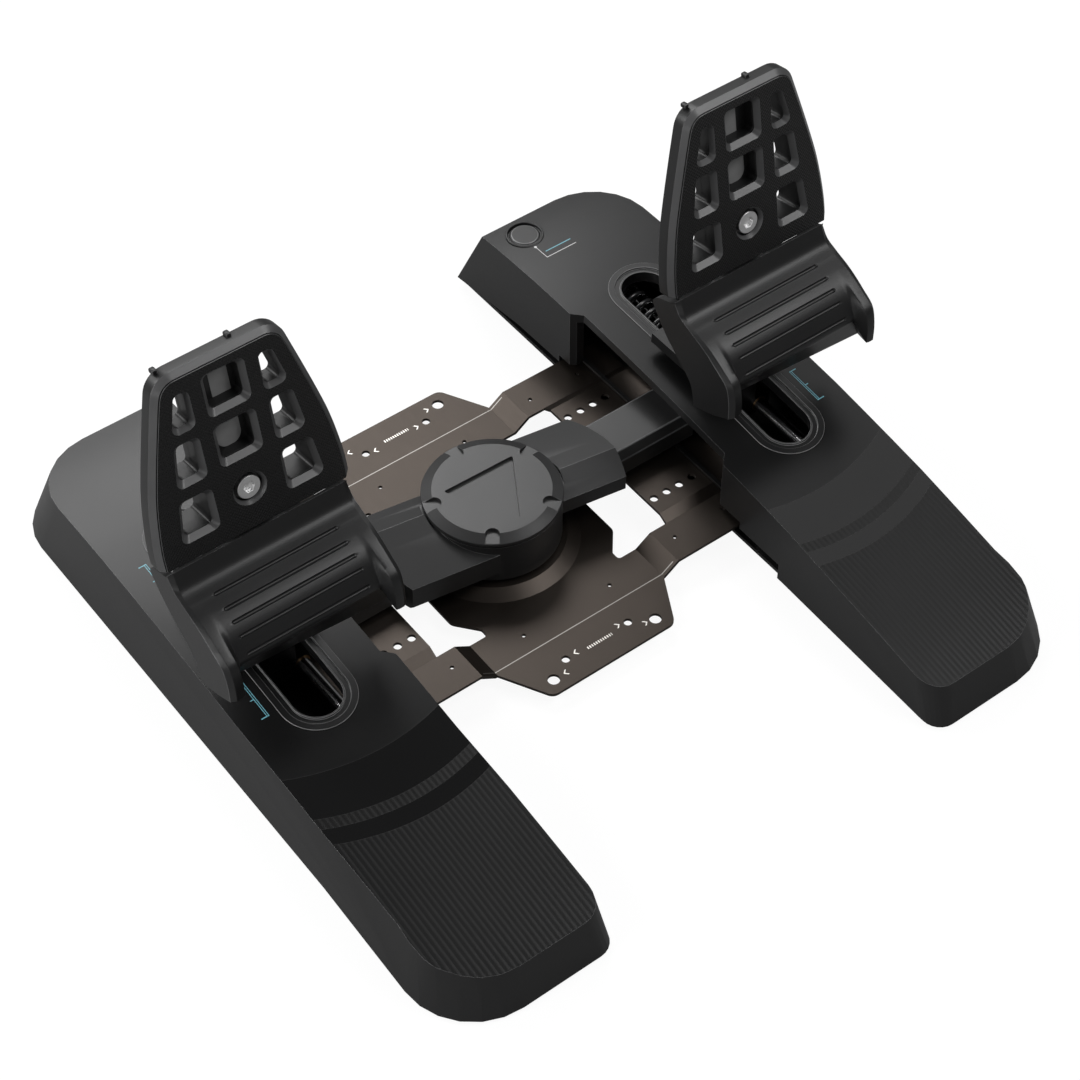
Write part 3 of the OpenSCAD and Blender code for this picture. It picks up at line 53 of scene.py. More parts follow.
# ------------------------------------------------------------------ camera and studio
# The camera stands where the photograph was taken from, in front of and above the
# left pedal, and looks down at the hub through a long lens.
azimuth = math.radians(-37.14)
elevation = math.radians(48.93)
back = Vector((
    math.sin(azimuth) * math.cos(elevation),
    -math.cos(azimuth) * math.cos(elevation),
    math.sin(elevation),
))
camera_data = bpy.data.cameras.new("camera")
camera_data.sensor_width = 36
camera_data.lens = 83.93
camera = bpy.data.objects.new("camera", camera_data)
camera.location = (-0.5475, -0.7671, 1.0850)
camera.rotation_euler = (-back).to_track_quat("-Z", "Y").to_euler()
bpy.context.scene.collection.objects.link(camera)
bpy.context.scene.camera = camera
bpy.context.scene.view_settings.view_transform = "Standard"


def soft_lamp(name, place, aim, size, power):
    data = bpy.data.lights.new(name, "AREA")
    data.shape = "RECTANGLE"
    data.size, data.size_y = size
    data.energy = power
    lamp = bpy.data.objects.new(name, data)
    lamp.location = place
    lamp.rotation_euler = (Vector(place) - Vector(aim)).to_track_quat("Z", "Y").to_euler()
    bpy.context.scene.collection.objects.link(lamp)


soft_lamp("lamp_back", (0.5, 1.43, 1.6), (0, 0, 0.05), (1.1, 0.8), 18)
soft_lamp("lamp_left", (-1.6, 0.1, 0.8), (0, 0, 0.05), (0.7, 1.4), 18)
soft_lamp("lamp_front", (0.85, -0.75, 1.7), (0, 0, 0.05), (1.0, 0.8), 13)
soft_lamp("lamp_right", (1.3, 0.55, 1.75), (0.1, -0.1, 0.05), (0.9, 1.0), 2.5)
soft_lamp("lamp_rim", (-0.9, 1.05, 1.0), (0, 0, 0.02), (0.4, 0.4), 7)
soft_lamp("lamp_low", (-1.3, -1.2, 0.6), (0, 0, 0.1), (0.8, 0.4), 2)


class Socket:
    """A shader value that takes part in sums."""

    def __init__(self, finish, link):
        self.finish = finish
        self.link = link

    def _math(self, operation, first, second):
        return self.finish.node("ShaderNodeMath", {"operation": operation}, {0: first, 1: second})

    def __add__(self, other):
        return self._math("ADD", self, other)

    def __sub__(self, other):
        return self._math("SUBTRACT", self, other)

    def __rsub__(self, other):
        return self._math("SUBTRACT", other, self)

    def __mul__(self, other):
        return self._math("MULTIPLY", self, other)

    def __truediv__(self, other):
        return self._math("DIVIDE", self, other)

    def __gt__(self, other):
        return self._math("GREATER_THAN", self, other)

    def __lt__(self, other):
        return self._math("LESS_THAN", self, other)

    def __abs__(self):
        return self._math("ABSOLUTE", self, 0)

    def wave(self):
        return self._math("SINE", self, 0)

    def within(self, low, high):
        return (self > low) * (self < high)

    def most(self, other):
        return self._math("MAXIMUM", self, other)


class Finish:
    """One material, with a node-making method and its Principled shader."""

    def __init__(self, name, **settings):
        self.material = bpy.data.materials.new(name)
        self.material.use_nodes = True
        self.tree = self.material.node_tree
        self.shader = self.tree.nodes["Principled BSDF"]
        self.set(**settings)
        place = self.tree.nodes.new("ShaderNodeTexCoord")
        self.place = Socket(self, place.outputs["Object"])

    def set(self, **settings):
        for name, value in settings.items():
            socket = self.shader.inputs[name.replace("_", " ")]
            if isinstance(value, Socket):
                self.tree.links.new(value.link, socket)
            elif isinstance(value, tuple) and len(value) == 3 and socket.type == "RGBA":
                socket.default_value = (*value, 1)
            else:
                socket.default_value = value
        return self

    def node(self, kind, settings, inputs, output=0):
        made = self.tree.nodes.new(kind)
        for key, value in settings.items():
            setattr(made, key, value)
        for key, value in inputs.items():
            if isinstance(value, Socket):
                self.tree.links.new(value.link, made.inputs[key])
            else:
                made.inputs[key].default_value = value
        return Socket(self, made.outputs[output])

    def axis(self, name):
        return self.node("ShaderNodeSeparateXYZ", {}, {0: self.place}, name)

    def mix(self, factor, first, second):
        return self.node(
            "ShaderNodeMix", {"data_type": "RGBA"},
            {0: factor, 6: first if isinstance(first, Socket) else (*first, 1),
             7: second if isinstance(second, Socket) else (*second, 1)}, 2,
        )

    def grain(self, scale, detail=3):
        return self.node(
            "ShaderNodeTexNoise", {}, {"Vector": self.place, "Scale": scale, "Detail": detail}
        )

    def bump(self, height, distance, strength):
        self.set(Normal=self.node(
            "ShaderNodeBump", {}, {"Strength": strength, "Distance": distance, "Height": height}
        ))
        return self

    def paint(self, *objects):
        for piece in objects:
            piece.data.materials.clear()
            piece.data.materials.append(self.material)
        return self


# The air is white to the camera, dim in reflections and grey as a light.
air_glow = 0.12
white_air = bpy.data.worlds.new("white_air")
white_air.use_nodes = True
air = white_air.node_tree
plain = air.nodes["Background"]
plain.inputs["Color"].default_value = (0.5, 0.5, 0.5, 1)
plain.inputs["Strength"].default_value = air_glow
bright = air.nodes.new("ShaderNodeBackground")
bright.inputs["Color"].default_value = (1, 1, 1, 1)
seen = air.nodes.new("ShaderNodeLightPath")
choose = air.nodes.new("ShaderNodeMixShader")
shown = air.nodes.new("ShaderNodeMath")
shown.operation = "MULTIPLY_ADD"
shown.inputs[1].default_value = air_glow
air.links.new(seen.outputs["Is Glossy Ray"], shown.inputs[0])
air.links.new(seen.outputs["Is Camera Ray"], shown.inputs[2])
air.links.new(shown.outputs[0], choose.inputs[0])
air.links.new(plain.outputs[0], choose.inputs[1])
air.links.new(bright.outputs[0], choose.inputs[2])
air.links.new(choose.outputs[0], air.nodes["World Output"].inputs["Surface"])
bpy.context.scene.world = white_air

# The floor glows white to the camera, which leaves the shadows on it, and throws little
# light back on the object.
bpy.ops.object.select_all(action="DESELECT")
bpy.ops.mesh.primitive_plane_add(size=12, location=(0, 0, -0.0005))
floor = bpy.context.object
floor.name = "floor"
floor_finish = Finish("floor_white", Roughness=0.9, Specular_IOR_Level=0.1)
glow = floor_finish.tree.nodes.new("ShaderNodeEmission")
glow.inputs["Color"].default_value = (1, 1, 1, 1)
glow.inputs["Strength"].default_value = 1.08
floor_path = floor_finish.tree.nodes.new("ShaderNodeLightPath")
lit = floor_finish.tree.nodes.new("ShaderNodeMixShader")
camera_sees = Socket(floor_finish, floor_path.outputs["Is Camera Ray"])
mirror_sees = Socket(floor_finish, floor_path.outputs["Is Glossy Ray"])
floor_finish.set(Base_Color=floor_finish.mix(camera_sees, (0.22, 0.22, 0.22), (0.8, 0.8, 0.8)))
glow_share = camera_sees * 0.86 + mirror_sees * 0.1
floor_finish.tree.links.new(glow_share.link, lit.inputs[0])
floor_finish.tree.links.new(floor_finish.shader.outputs[0], lit.inputs[1])
floor_finish.tree.links.new(glow.outputs[0], lit.inputs[2])
floor_finish.tree.links.new(
    lit.outputs[0], floor_finish.tree.nodes["Material Output"].inputs["Surface"]
)
floor_finish.paint(floor)

# ------------------------------------------------------------------ base plate
# The wide plate is one pressed steel sheet in a warm gunmetal lacquer, brushed along its
# length. Its tongues carry printed aiming marks, and rubber pads are glued under it.
record = frame["record"]
body_of = {
    name: body for body, names in record["behaviour"]["bodies"].items() for name in names
}


def only(piece):
    bpy.ops.object.select_all(action="DESELECT")
    piece.select_set(True)
    bpy.context.view_layer.objects.active = piece


def as_object(name, shape):
    mesh = bpy.data.meshes.new(name)
    shape.to_mesh(mesh)
    shape.free()
    piece = bpy.data.objects.new(name, mesh)
    bpy.context.scene.collection.objects.link(piece)
    return piece


def apply_all(piece):
    only(piece)
    for modifier in list(piece.modifiers):
        bpy.ops.object.modifier_apply(modifier=modifier.name)


def smooth(piece, angle=35):
    only(piece)
    bpy.ops.object.shade_smooth_by_angle(angle=math.radians(angle), keep_sharp_edges=False)
    even = piece.modifiers.new("even", "WEIGHTED_NORMAL")
    even.keep_sharp = True
    apply_all(piece)
    return piece


def soften(piece, width, segments=2, angle=28, edge_slot=-1):
    edge = piece.modifiers.new("edge", "BEVEL")
    edge.material = edge_slot
    edge.width = width
    edge.segments = segments
    edge.limit_method = "ANGLE"
    edge.angle_limit = math.radians(angle)
    edge.use_clamp_overlap = True
    apply_all(piece)
    return smooth(piece)


def stand_for(piece, name):
    """The piece is shown in place of the node, and moves with that node's body."""
    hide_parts(name)
    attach(piece, body_of[name])
    return piece


def dressed(name, finishes, width, segments=2):
    """The solid's own shape, with its facets joined and a small radius on its edges.

    The last of several finishes goes on the radii.
    """
    shape = bmesh.new()
    shape.from_mesh(nodes[name].data)
    bmesh.ops.remove_doubles(shape, verts=shape.verts, dist=2e-6)
    bmesh.ops.dissolve_limit(
        shape, angle_limit=math.radians(0.4), verts=shape.verts, edges=shape.edges
    )
    piece = as_object(name + "_shown", shape)
    for finish in finishes:
        piece.data.materials.append(finish.material)
    last = len(finishes) - 1
    soften(piece, width, segments, edge_slot=last if last else -1)
    return stand_for(piece, name)


def brushed(finish, scale):
    turned = finish.node("ShaderNodeMapping", {}, {"Vector": finish.place, "Scale": scale})
    return finish.node("ShaderNodeTexNoise", {}, {"Vector": turned, "Scale": 1.0, "Detail": 4})


gunmetal = Finish("gunmetal_lacquer", Metallic=0.85, Coat_Roughness=0.2)
plate_brush = brushed(gunmetal, (2600, 90, 2600))
plate_cloud = gunmetal.grain(14, 4)
x_at, y_at, z_at = gunmetal.axis("X"), gunmetal.axis("Y"), gunmetal.axis("Z")
on_top = z_at > 0.0075
# Each arrow head is given by its point and the way it points, on the front tongue; the
# back tongue has the same ones turned half round.
arrow_heads = (
    (0.0164, -0.0945, 1), (0.0298, -0.1023, 1), (-0.0154, -0.0956, -1), (-0.0282, -0.1034, -1),
)
arrows = None
for turn in (1, -1):
    for x, y, points in arrow_heads:
        off = x_at - turn * x
        rise = abs(y_at - turn * y)
        stroke = abs(off + rise) if points * turn > 0 else abs(off - rise)
        arrow = (stroke < 0.0005) * (rise < 0.0018)
        arrows = arrow if arrows is None else arrows.most(arrow)
hatch = ((x_at * 4200).wave() > 0.1) * x_at.within(-0.0078, 0.0094) * (
    abs(abs(y_at) - 0.0972) < 0.0009)
# A faint lighter line along the crease where each tongue bends is a painted highlight.
crease_highlight = (abs(abs(y_at) - 0.0805) < 0.0003) * (abs(x_at) < 0.066)
gunmetal.set(
    Base_Color=gunmetal.mix(
        arrows.most(hatch).most(crease_highlight * 0.35) * on_top,
        gunmetal.mix(plate_cloud, (0.038, 0.031, 0.026), (0.06, 0.05, 0.043)),
        (0.62, 0.6, 0.57),
    ),
    Roughness=plate_brush * 0.12 + plate_cloud * 0.1 + 0.27,
)
gunmetal.bump(plate_brush, 0.00002, 0.5)
dressed("base_plate", [gunmetal], 0.0004)

pad_rubber = Finish("pad_rubber", Roughness=0.85)
pad_rubber.set(Base_Color=pad_rubber.mix(
    pad_rubber.grain(700), (0.012, 0.012, 0.012), (0.03, 0.03, 0.03)
))
pad_rubber.bump(pad_rubber.grain(1600), 0.00005, 0.6)
pad_rubber.paint(nodes["base_feet"])

# ------------------------------------------------------------------ hub post
# A turned steel post stands in the boss of the plate, held from below by screws. Bronze
# bushes run on it, a circlip keeps them down, and a small sensor board reads the magnet.
bright_steel = Finish("bright_steel", Metallic=1.0)
steel_brush = brushed(bright_steel, (900, 900, 9000))
bright_steel.set(
    Base_Color=bright_steel.mix(steel_brush, (0.55, 0.55, 0.56), (0.63, 0.63, 0.64)),
    Roughness=steel_brush * 0.06 + 0.2,
)
bright_steel.paint(
    nodes["hub_post"], nodes["hub_post_screws"], nodes["hub_circlip"], nodes["usb_socket"]
)

bush_bronze = Finish("bush_bronze", Metallic=1.0)
bronze_speck = bush_bronze.grain(1800, 5)
bush_bronze.set(
    Base_Color=bush_bronze.mix(bronze_speck, (0.34, 0.2, 0.09), (0.5, 0.33, 0.17)),
    Roughness=bronze_speck * 0.2 + 0.25,
)
bush_bronze.paint(*(nodes[name] for name in nodes if "bush" in name))

board_green = Finish("board_green", Roughness=0.35)
tracks = ((board_green.axis("X") * 2400).wave() > 0.75).most(
    (board_green.axis("Y") * 2400).wave() > 0.8
)
board_green.set(Base_Color=board_green.mix(
    tracks * (board_green.grain(260) > 0.5), (0.005, 0.055, 0.025), (0.02, 0.14, 0.07)
))
board_green.paint(nodes["hub_sensor"], nodes["circuit_board"])

magnet_nickel = Finish("magnet_nickel", Metallic=1.0)
magnet_nickel.set(
    Base_Color=magnet_nickel.mix(magnet_nickel.grain(500), (0.4, 0.39, 0.37), (0.55, 0.54, 0.5)),
    Roughness=magnet_nickel.grain(900) * 0.2 + 0.18,
)
magnet_nickel.paint(nodes["hub_magnet"])

# ------------------------------------------------------------------ hub and arms
# The rocker is one deep moulding round the post, with a round cap pressed into its top.
# Square hollow arms slide in its two sleeves, and a steel fork on each drives a carriage.
def moulded(name, colours, cloud_scale, shares, base, grain_scale=2300):
    """Fine-grained plastic: the roughness takes a share of the grain and of the clouds."""
    finish = Finish(name)
    grain = finish.grain(grain_scale, 2)
    cloud = finish.grain(cloud_scale, 3)
    finish.set(
        Base_Color=finish.mix(cloud, *colours),
        Roughness=grain * shares[0] + cloud * shares[1] + base,
    )
    return finish.bump(grain, 0.00003, 0.5)


def highlight_finish(name, colours, base):
    """A lighter copy of the plastic for rounded edges, as a painted highlight."""
    finish = Finish(name)
    cloud = finish.grain(60, 3)
    return finish.set(Base_Color=finish.mix(cloud, *colours), Roughness=cloud * 0.1 + base)


def skin(shape, loops, closed=False):
    """Faces between each loop of corners and the next, and back to the first if closed."""
    for first, second in zip(loops, loops[1:] + loops[:1] if closed else loops[1:]):
        for k in range(len(first)):
            after = (k + 1) % len(first)
            shape.faces.new((first[k], first[after], second[after], second[k]))


def polar(radius, degrees):
    """A flat point at a distance from the middle, in a direction."""
    turn = math.radians(degrees)
    return Vector((radius * math.cos(turn), radius * math.sin(turn)))


def prism(name, outline, low, high, flare):
    """A standing block from a flat outline, its top widened by flare about its middle."""
    middle = sum((Vector(point) for point in outline), Vector((0, 0))) / len(outline)
    block_shape = bmesh.new()
    rings = []
    for level, grow in ((low, 0.0), (high, flare)):
        ring = []
        for point in outline:
            away = Vector(point) - middle
            place = middle + away + away.normalized() * grow
            ring.append(block_shape.verts.new((*place, level)))
        rings.append(ring)
    skin(block_shape, rings)
    block_shape.faces.new(rings[0])
    block_shape.faces.new(rings[1])
    bmesh.ops.recalc_face_normals(block_shape, faces=block_shape.faces)
    return as_object(name, block_shape)


satin = moulded(
    "satin_charcoal", ((0.01, 0.01, 0.0103), (0.015, 0.015, 0.0154)), 22, (0.12, 0.06), 0.28
)
# The charcoal parts get this lighter copy of their plastic on their radii: a painted highlight.
satin_highlight = highlight_finish("satin_highlight", ((0.14, 0.14, 0.141), (0.2, 0.2, 0.202)), 0.22)
hub_satin = moulded(
    "hub_satin", ((0.022, 0.022, 0.0223), (0.029, 0.029, 0.0294)), 22, (0, 0.06), 0.33
)
# The radii of the hub body carry the painted highlight.
dressed("hub_body", [hub_satin, satin_highlight], 0.0006)

# The cap is turned with its sloping rim, then gets five open notches and a three-sided
# shallow recess, which is left bare.
cap_steps = 160
cap_flat_r = 0.0337
cap_over = 0.0486
notch_r = 0.0038
cap_profile = [
    (0, 0.0456), (0.0327, 0.0456), (0.0327, 0.0432), (0.0397, 0.0432), (0.04, 0.0435),
    (0.04, 0.0453), (0.0398, 0.0457), (0.0339, 0.04788), (0.0336, 0.048), (0, 0.048),
]
cap_shape = bmesh.new()
cap_rows = [
    [cap_shape.verts.new((*polar(r, 360 * k / cap_steps), z)) for k in range(cap_steps if r else 1)]
    for r, z in cap_profile
]
for first, second in zip(cap_rows, cap_rows[1:]):
    for k in range(cap_steps):
        after = (k + 1) % cap_steps
        corners = [first[k % len(first)], first[after % len(first)],
                   second[after % len(second)], second[k % len(second)]]
        cap_shape.faces.new(list(dict.fromkeys(corners)))
bmesh.ops.recalc_face_normals(cap_shape, faces=cap_shape.faces)
cap = as_object("hub_cap_shown", cap_shape)

cap_cuts = []
for k in range(5):
    turn = 90 + 72 * k
    open_end = [polar(0.045, turn) + polar(notch_r, turn + quarter) for quarter in (-90, 90)]
    cap_cuts.append(prism("notch", [
        polar(cap_flat_r, turn) + polar(notch_r, turn + bow) for bow in range(90, 271, 9)
    ] + open_end, 0.0459, cap_over, 0.0003))
recess = [
    polar(0.0251, corner) + polar(0.0009, corner + bow)
    for corner in (28.5, 148.5, 268.5) for bow in range(-60, 61, 15)
]
cap_cuts.append(prism("recess", recess, 0.0461, cap_over, 0.0004))
for cutter in cap_cuts:
    cut = cap.modifiers.new("cut", "BOOLEAN")
    cut.operation = "DIFFERENCE"
    cut.solver = "EXACT"
    cut.object = cutter
apply_all(cap)
for cutter in cap_cuts:
    bpy.data.objects.remove(cutter)
hub_satin.paint(stand_for(smooth(cap, 24), "hub_cap"))
cap.data.materials.append(satin_highlight.material)
# The narrow faces along both edges of the sloping rim get the painted highlight.
for face in cap.data.polygons:
    height = face.center.z
    rim = height > 0.0478 or 0.0452 < height < 0.0458
    if rim and face.area < 4e-7 and face.normal.z > 0.5 and face.center.xy.length > 0.0335:
        face.material_index = 1

for side in sides:
    # The radii of the arms carry the painted highlight.
    dressed("arm_tube_" + side, [hub_satin, satin_highlight], 0.0006)
    dressed("drive_fork_" + side, [bright_steel], 0.0003)

# ------------------------------------------------------------------ housings
# Each long housing is a deep moulded shell clipped over a flat tray, with its screws and
# rubber feet under it. The deck is satin, with polished and ribbed bands over the heel.
deck = Finish("deck_charcoal", Specular_IOR_Level=0.36)
deck_x, deck_y = deck.axis("X"), deck.axis("Y")
outward = abs(deck_x)
# The bands follow one curve, swept back towards the outer edge. From the heel end they are
# ribs, a polished band, narrow ribs, and a wide polished band up to the satin deck.
across = (outward - 0.1115) / 0.0885
sweep = deck_y - across * 0.0067 + across * (1 - across) * 0.0312
heel_end, narrow_start, narrow_end, satin_start = -0.149, -0.1388, -0.1323, -0.1047
polish = sweep.within(narrow_end, satin_start).most(sweep.within(heel_end, narrow_start))
fine_ribs = (outward * 2026).wave()
heel_ribs = sweep < heel_end
narrow_ribs = sweep.within(narrow_start, narrow_end)
ribbed = heel_ribs.most(narrow_ribs)
lines = abs(sweep - heel_end) < 0.0002
for border in (narrow_start, narrow_end, satin_start):
    lines = lines.most(abs(sweep - border) < 0.0002)
# Each slot has a short double line with three ticks beside both its ends.
scale_half = 0.0125
from_middle = abs(abs(deck_y + 0.0011) - 0.0471)
double_line = (abs(abs(outward - 0.1875) - 0.00055) < 0.00022) * (from_middle < scale_half)
end_ticks = outward.within(0.1867, 0.1915) * (abs(from_middle - scale_half) < 0.00035)
middle_tick = outward.within(0.188, 0.1902) * (from_middle < 0.0003)
# A thin elbow runs from the lamp by the button to two short plain lines.
lamp_x, lamp_y = deck_x - 0.1306, deck_y - 0.1326
lamp_dot = (lamp_x * lamp_x + lamp_y * lamp_y) < 0.0009 ** 2
elbow = (abs(lamp_x) < 0.0002) * lamp_y.within(-0.0118, 0)
white_line = deck_x.within(0.1306, 0.1524) * (abs(deck_y - 0.121) < 0.00025)
blue_line = deck_x.within(0.1331, 0.1516) * (abs(deck_y - 0.1258) < 0.00035)
white_print = lamp_dot.most(elbow).most(white_line)
blue_print = double_line.most(end_ticks).most(middle_tick).most(blue_line)
deck_grain = deck.grain(2300, 2)
deck_cloud = deck.grain(18, 3)
deck_colour = deck.mix(deck_cloud, (0.005, 0.005, 0.0052), (0.008, 0.008, 0.0083))
# The heel ribs are darker along their grooves: painted shade.
for where, colour in (
    (polish, (0.006, 0.006, 0.0062)),
    (narrow_ribs, (0.008, 0.008, 0.008)),
    (heel_ribs * (fine_ribs > 0.9), (0.0015, 0.0015, 0.0015)),
    (lines, (0.02, 0.02, 0.02)),
    (blue_print, (0.16, 0.42, 0.5)),
    (white_print, (0.7, 0.7, 0.7)),
):
    deck_colour = deck.mix(where, deck_colour, colour)
deck.set(
    Base_Color=deck_colour,
    Roughness=(1 - polish) * (deck_grain * 0.1 + deck_cloud * 0.05 + 0.13) + ribbed * 0.04 + 0.1,
)
deck.bump(deck_grain * (1 - polish) * 0.06 - fine_ribs * ribbed * 0.25, 0.0003, 0.6)

tray_black = moulded(
    "tray_black", ((0.004, 0.004, 0.0043), (0.007, 0.007, 0.0073)), 20, (0.14, 0), 0.3, 2000
)

for side in sides:
    # The radii of the shell carry the painted highlight.
    shell = dressed("upper_shell_" + side, [satin, deck, satin_highlight], 0.0008)
    for face in shell.data.polygons:
        if face.material_index == 0 and face.normal.z > 0.8:
            face.material_index = 1
    dressed("lower_tray_" + side, [tray_black], 0.0005)
    # The radii of the slot bezel carry the painted highlight.
    dressed("slot_bezel_" + side, [tray_black, satin_highlight], 0.0004)
    pad_rubber.paint(nodes["housing_feet_" + side])
    bright_steel.paint(nodes["housing_screws_" + side])

# ------------------------------------------------------------------ slides
# Inside each housing a moulded carriage runs on two ground steel rods held in end blocks.
# A black lacquered coil spring between the carriage and the toe block centres the pedals.
def coil(name, start, way, out, radius, wire, pitch, turns):
    """A wound wire round the line from start along way, its first point lying towards out."""
    rings, sides_round = 24, 12
    way, out = Vector(way), Vector(out)
    beside = way.cross(out)
    shape = bmesh.new()
    loops = []
    rise = pitch / (math.tau * radius)
    for step in range(rings * turns + 1):
        turn = math.tau * step / rings
        away = out * math.cos(turn) + beside * math.sin(turn)
        ahead = (beside * math.cos(turn) - out * math.sin(turn) + way * rise).normalized()
        up = ahead.cross(away)
        middle = Vector(start) + way * (pitch * step / rings) + away * radius
        loops.append([
            shape.verts.new(middle + wire * (
                away * math.cos(math.tau * k / sides_round)
                + up * math.sin(math.tau * k / sides_round)))
            for k in range(sides_round)
        ])
    skin(shape, loops)
    shape.faces.new(loops[0])
    shape.faces.new(loops[-1])
    bmesh.ops.recalc_face_normals(shape, faces=shape.faces)
    return smooth(as_object(name, shape))


spring_black = Finish("spring_black")
spring_black.set(
    Base_Color=spring_black.mix(spring_black.grain(60), (0.02, 0.02, 0.021), (0.04, 0.04, 0.042)),
    Roughness=spring_black.grain(700) * 0.1 + 0.15,
    Coat_Weight=0.5,
)
pedal_x = 0.16
spring_line = (0.0258, 0.036)
for side, sign in sides.items():
    dressed("guide_rods_" + side, [bright_steel], 0.0003)
    dressed("rod_blocks_" + side, [tray_black], 0.0005)
    dressed("carriage_" + side, [tray_black], 0.0005)
    bright_steel.paint(nodes["drive_pin_" + side])
    spring = coil(
        "centring_spring_" + side + "_shown", (sign * pedal_x, *spring_line), (0, 1, 0),
        (sign, 0, 0), 0.0115, 0.0014, 0.00844, 10,
    )
    spring_black.paint(spring)
    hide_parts("centring_spring_" + side)
    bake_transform(spring)

# ------------------------------------------------------------------ mode button
# A small moulded push button with a domed top sits at the toe end of the right deck, in
# a raised ring, with a status lamp beside it. It presses a switch on the board below.
# The radii of the button carry the painted highlight.
dressed("mode_button", [tray_black, satin_highlight], 0.0004, 3)
ring_middle, deck_top = Vector((0.1321, 0.1455)), 0.0598
ring_steps = 64
ring_profile = ((0.0103, -0.0012), (0.0103, 0.0003), (0.0106, 0.0006), (0.0112, 0.0006),
                (0.0116, 0.0003), (0.0116, -0.0012))
ring_shape = bmesh.new()
ring_loops = [
    [
        ring_shape.verts.new((*(ring_middle + polar(away, 360 * k / ring_steps)), deck_top + up))
        for away, up in ring_profile
    ]
    for k in range(ring_steps)
]
skin(ring_shape, ring_loops, True)
bmesh.ops.recalc_face_normals(ring_shape, faces=ring_shape.faces)
button_ring = smooth(as_object("button_ring", ring_shape), 50)
tray_black.paint(button_ring)
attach(button_ring, "housing_right")

# ------------------------------------------------------------------ pedal posts
# A glass-filled moulded post stands up out of the slot on each carriage. Its yoke holds a
# steel axle, which the pedal leans on against two wound brake springs.
axle_y, axle_z = -0.012, 0.138
for side, sign in sides.items():
    dressed("pedal_post_" + side, [tray_black], 0.0006)
    bright_steel.paint(nodes["brake_axle_" + side])
    halves = [
        coil(
            "brake_spring_" + side, (sign * pedal_x + hand * 0.0112, axle_y, axle_z),
            (hand, 0, 0), (0, 0, 1), 0.0066, 0.0009, 0.0024, 4,
        )
        for hand in (-1, 1)
    ]
    only(halves[0])
    halves[1].select_set(True)
    bpy.ops.object.join()
    halves[0].name = "brake_springs_" + side + "_shown"
    bright_steel.paint(stand_for(halves[0], "brake_springs_" + side))

# ------------------------------------------------------------------ heel rests
# Each heel rest is one satin moulding with a smooth scoop for the sole, five thin grooves
# across it and a raised wing down each side. It is screwed to the front of the post.
pedal_satin = moulded(
    "pedal_satin", ((0.008, 0.008, 0.0083), (0.012, 0.012, 0.0123)), 26, (0.1, 0.06), 0.3
)
# A lighter copy of the pedal plastic for bevels and rims: a painted highlight.
pedal_highlight = highlight_finish("pedal_highlight", ((0.07, 0.07, 0.071), (0.11, 0.11, 0.112)), 0.28)

# Four lines run down the moulding, from the lip at the pedal to the heel, each as (depth,
# height) in mm: the middle of the scoop, and the front, middle and back of the wing.
scoop = [(-25, 147.3), (-30.1, 138), (-38.5, 134.4), (-47.4, 131.5), (-54.4, 128),
         (-60.2, 122.7), (-65.4, 114.2), (-66.4, 110.8), (-65.5, 108)]
wing = [(-25, 147.3), (-30.1, 138), (-38.5, 134.4), (-47.5, 131.6), (-55, 128.4),
        (-62.8, 124), (-71.3, 118.2), (-74.4, 108), (-74.8, 97)]
wing_mid = [(-23.7, 145.9), (-23, 140.6), (-26, 136.8), (-29.5, 132.4), (-34, 127.5),
            (-41, 120), (-49.5, 111.5), (-57, 101.5), (-60, 89)]
wing_back = [(-22, 144), (-14.5, 141), (-9.4, 138.9), (-5.2, 133.6), (-9.5, 126.5),
             (-17, 117.5), (-28.5, 107.5), (-40, 97), (-43.5, 82.5)]


def along(points, share):
    """A point on the smooth line through the points, at a share in whole steps."""
    at = min(int(share), len(points) - 2)
    part = share - at
    p = [points[max(0, min(len(points) - 1, at + k))] for k in (-1, 0, 1, 2)]
    return tuple(
        0.5 * (2 * p[1][i] + (p[2][i] - p[0][i]) * part
               + (2 * p[0][i] - 5 * p[1][i] + 4 * p[2][i] - p[3][i]) * part ** 2
               + (3 * p[1][i] - p[0][i] - 3 * p[2][i] + p[3][i]) * part ** 3)
        for i in (0, 1)
    )


def between(first, second, part):
    return tuple(a + (b - a) * part for a, b in zip(first, second))


def ease(value, low, high):
    part = max(0.0, min(1.0, (value - low) / (high - low)))
    return part * part * (3 - 2 * part)


# Stations down the lines and points across the scoop lie closer together at the grooves.
grooves = (2, 3, 4, 5, 6)
groove_r = 1.1
groove_depth = 1.05
groove_half = 35.5
around_groove = (-0.2, -0.16, -0.13, -0.1, -0.07, -0.035, 0, 0.035, 0.07, 0.1, 0.13, 0.16, 0.2)
stations = sorted(
    {round(k * 0.125, 4) for k in range(65)}
    | {round(middle + off, 4) for middle in grooves for off in around_groove}
)
half_across = [3 * k for k in range(12)] + [
    34.2, 34.8, 35.3, 35.7, 36.1, 36.5, 37, 38.5, 40, 41, 42, 43, 44, 45, 45.6, 47.5, 50.2,
]
all_across = [-u for u in reversed(half_across)] + half_across[1:]


def groove_at(u, share):
    """How deep the nearest groove is at a point of the scoop."""
    here = along(scoop, share)
    depth = 0.0
    for middle in grooves:
        off = math.hypot(math.dist(here, scoop[middle]), max(0.0, abs(u) - groove_half))
        if off < groove_r:
            depth = max(depth, groove_depth * math.sqrt(1 - (off / groove_r) ** 2))
    return depth


def into_scoop(share):
    """The way into the moulding, square to the middle line of the scoop."""
    above, below = along(scoop, max(0, share - 0.05)), along(scoop, min(8, share + 0.05))
    length = math.dist(above, below)
    return (above[1] - below[1]) / length, (below[0] - above[0]) / length


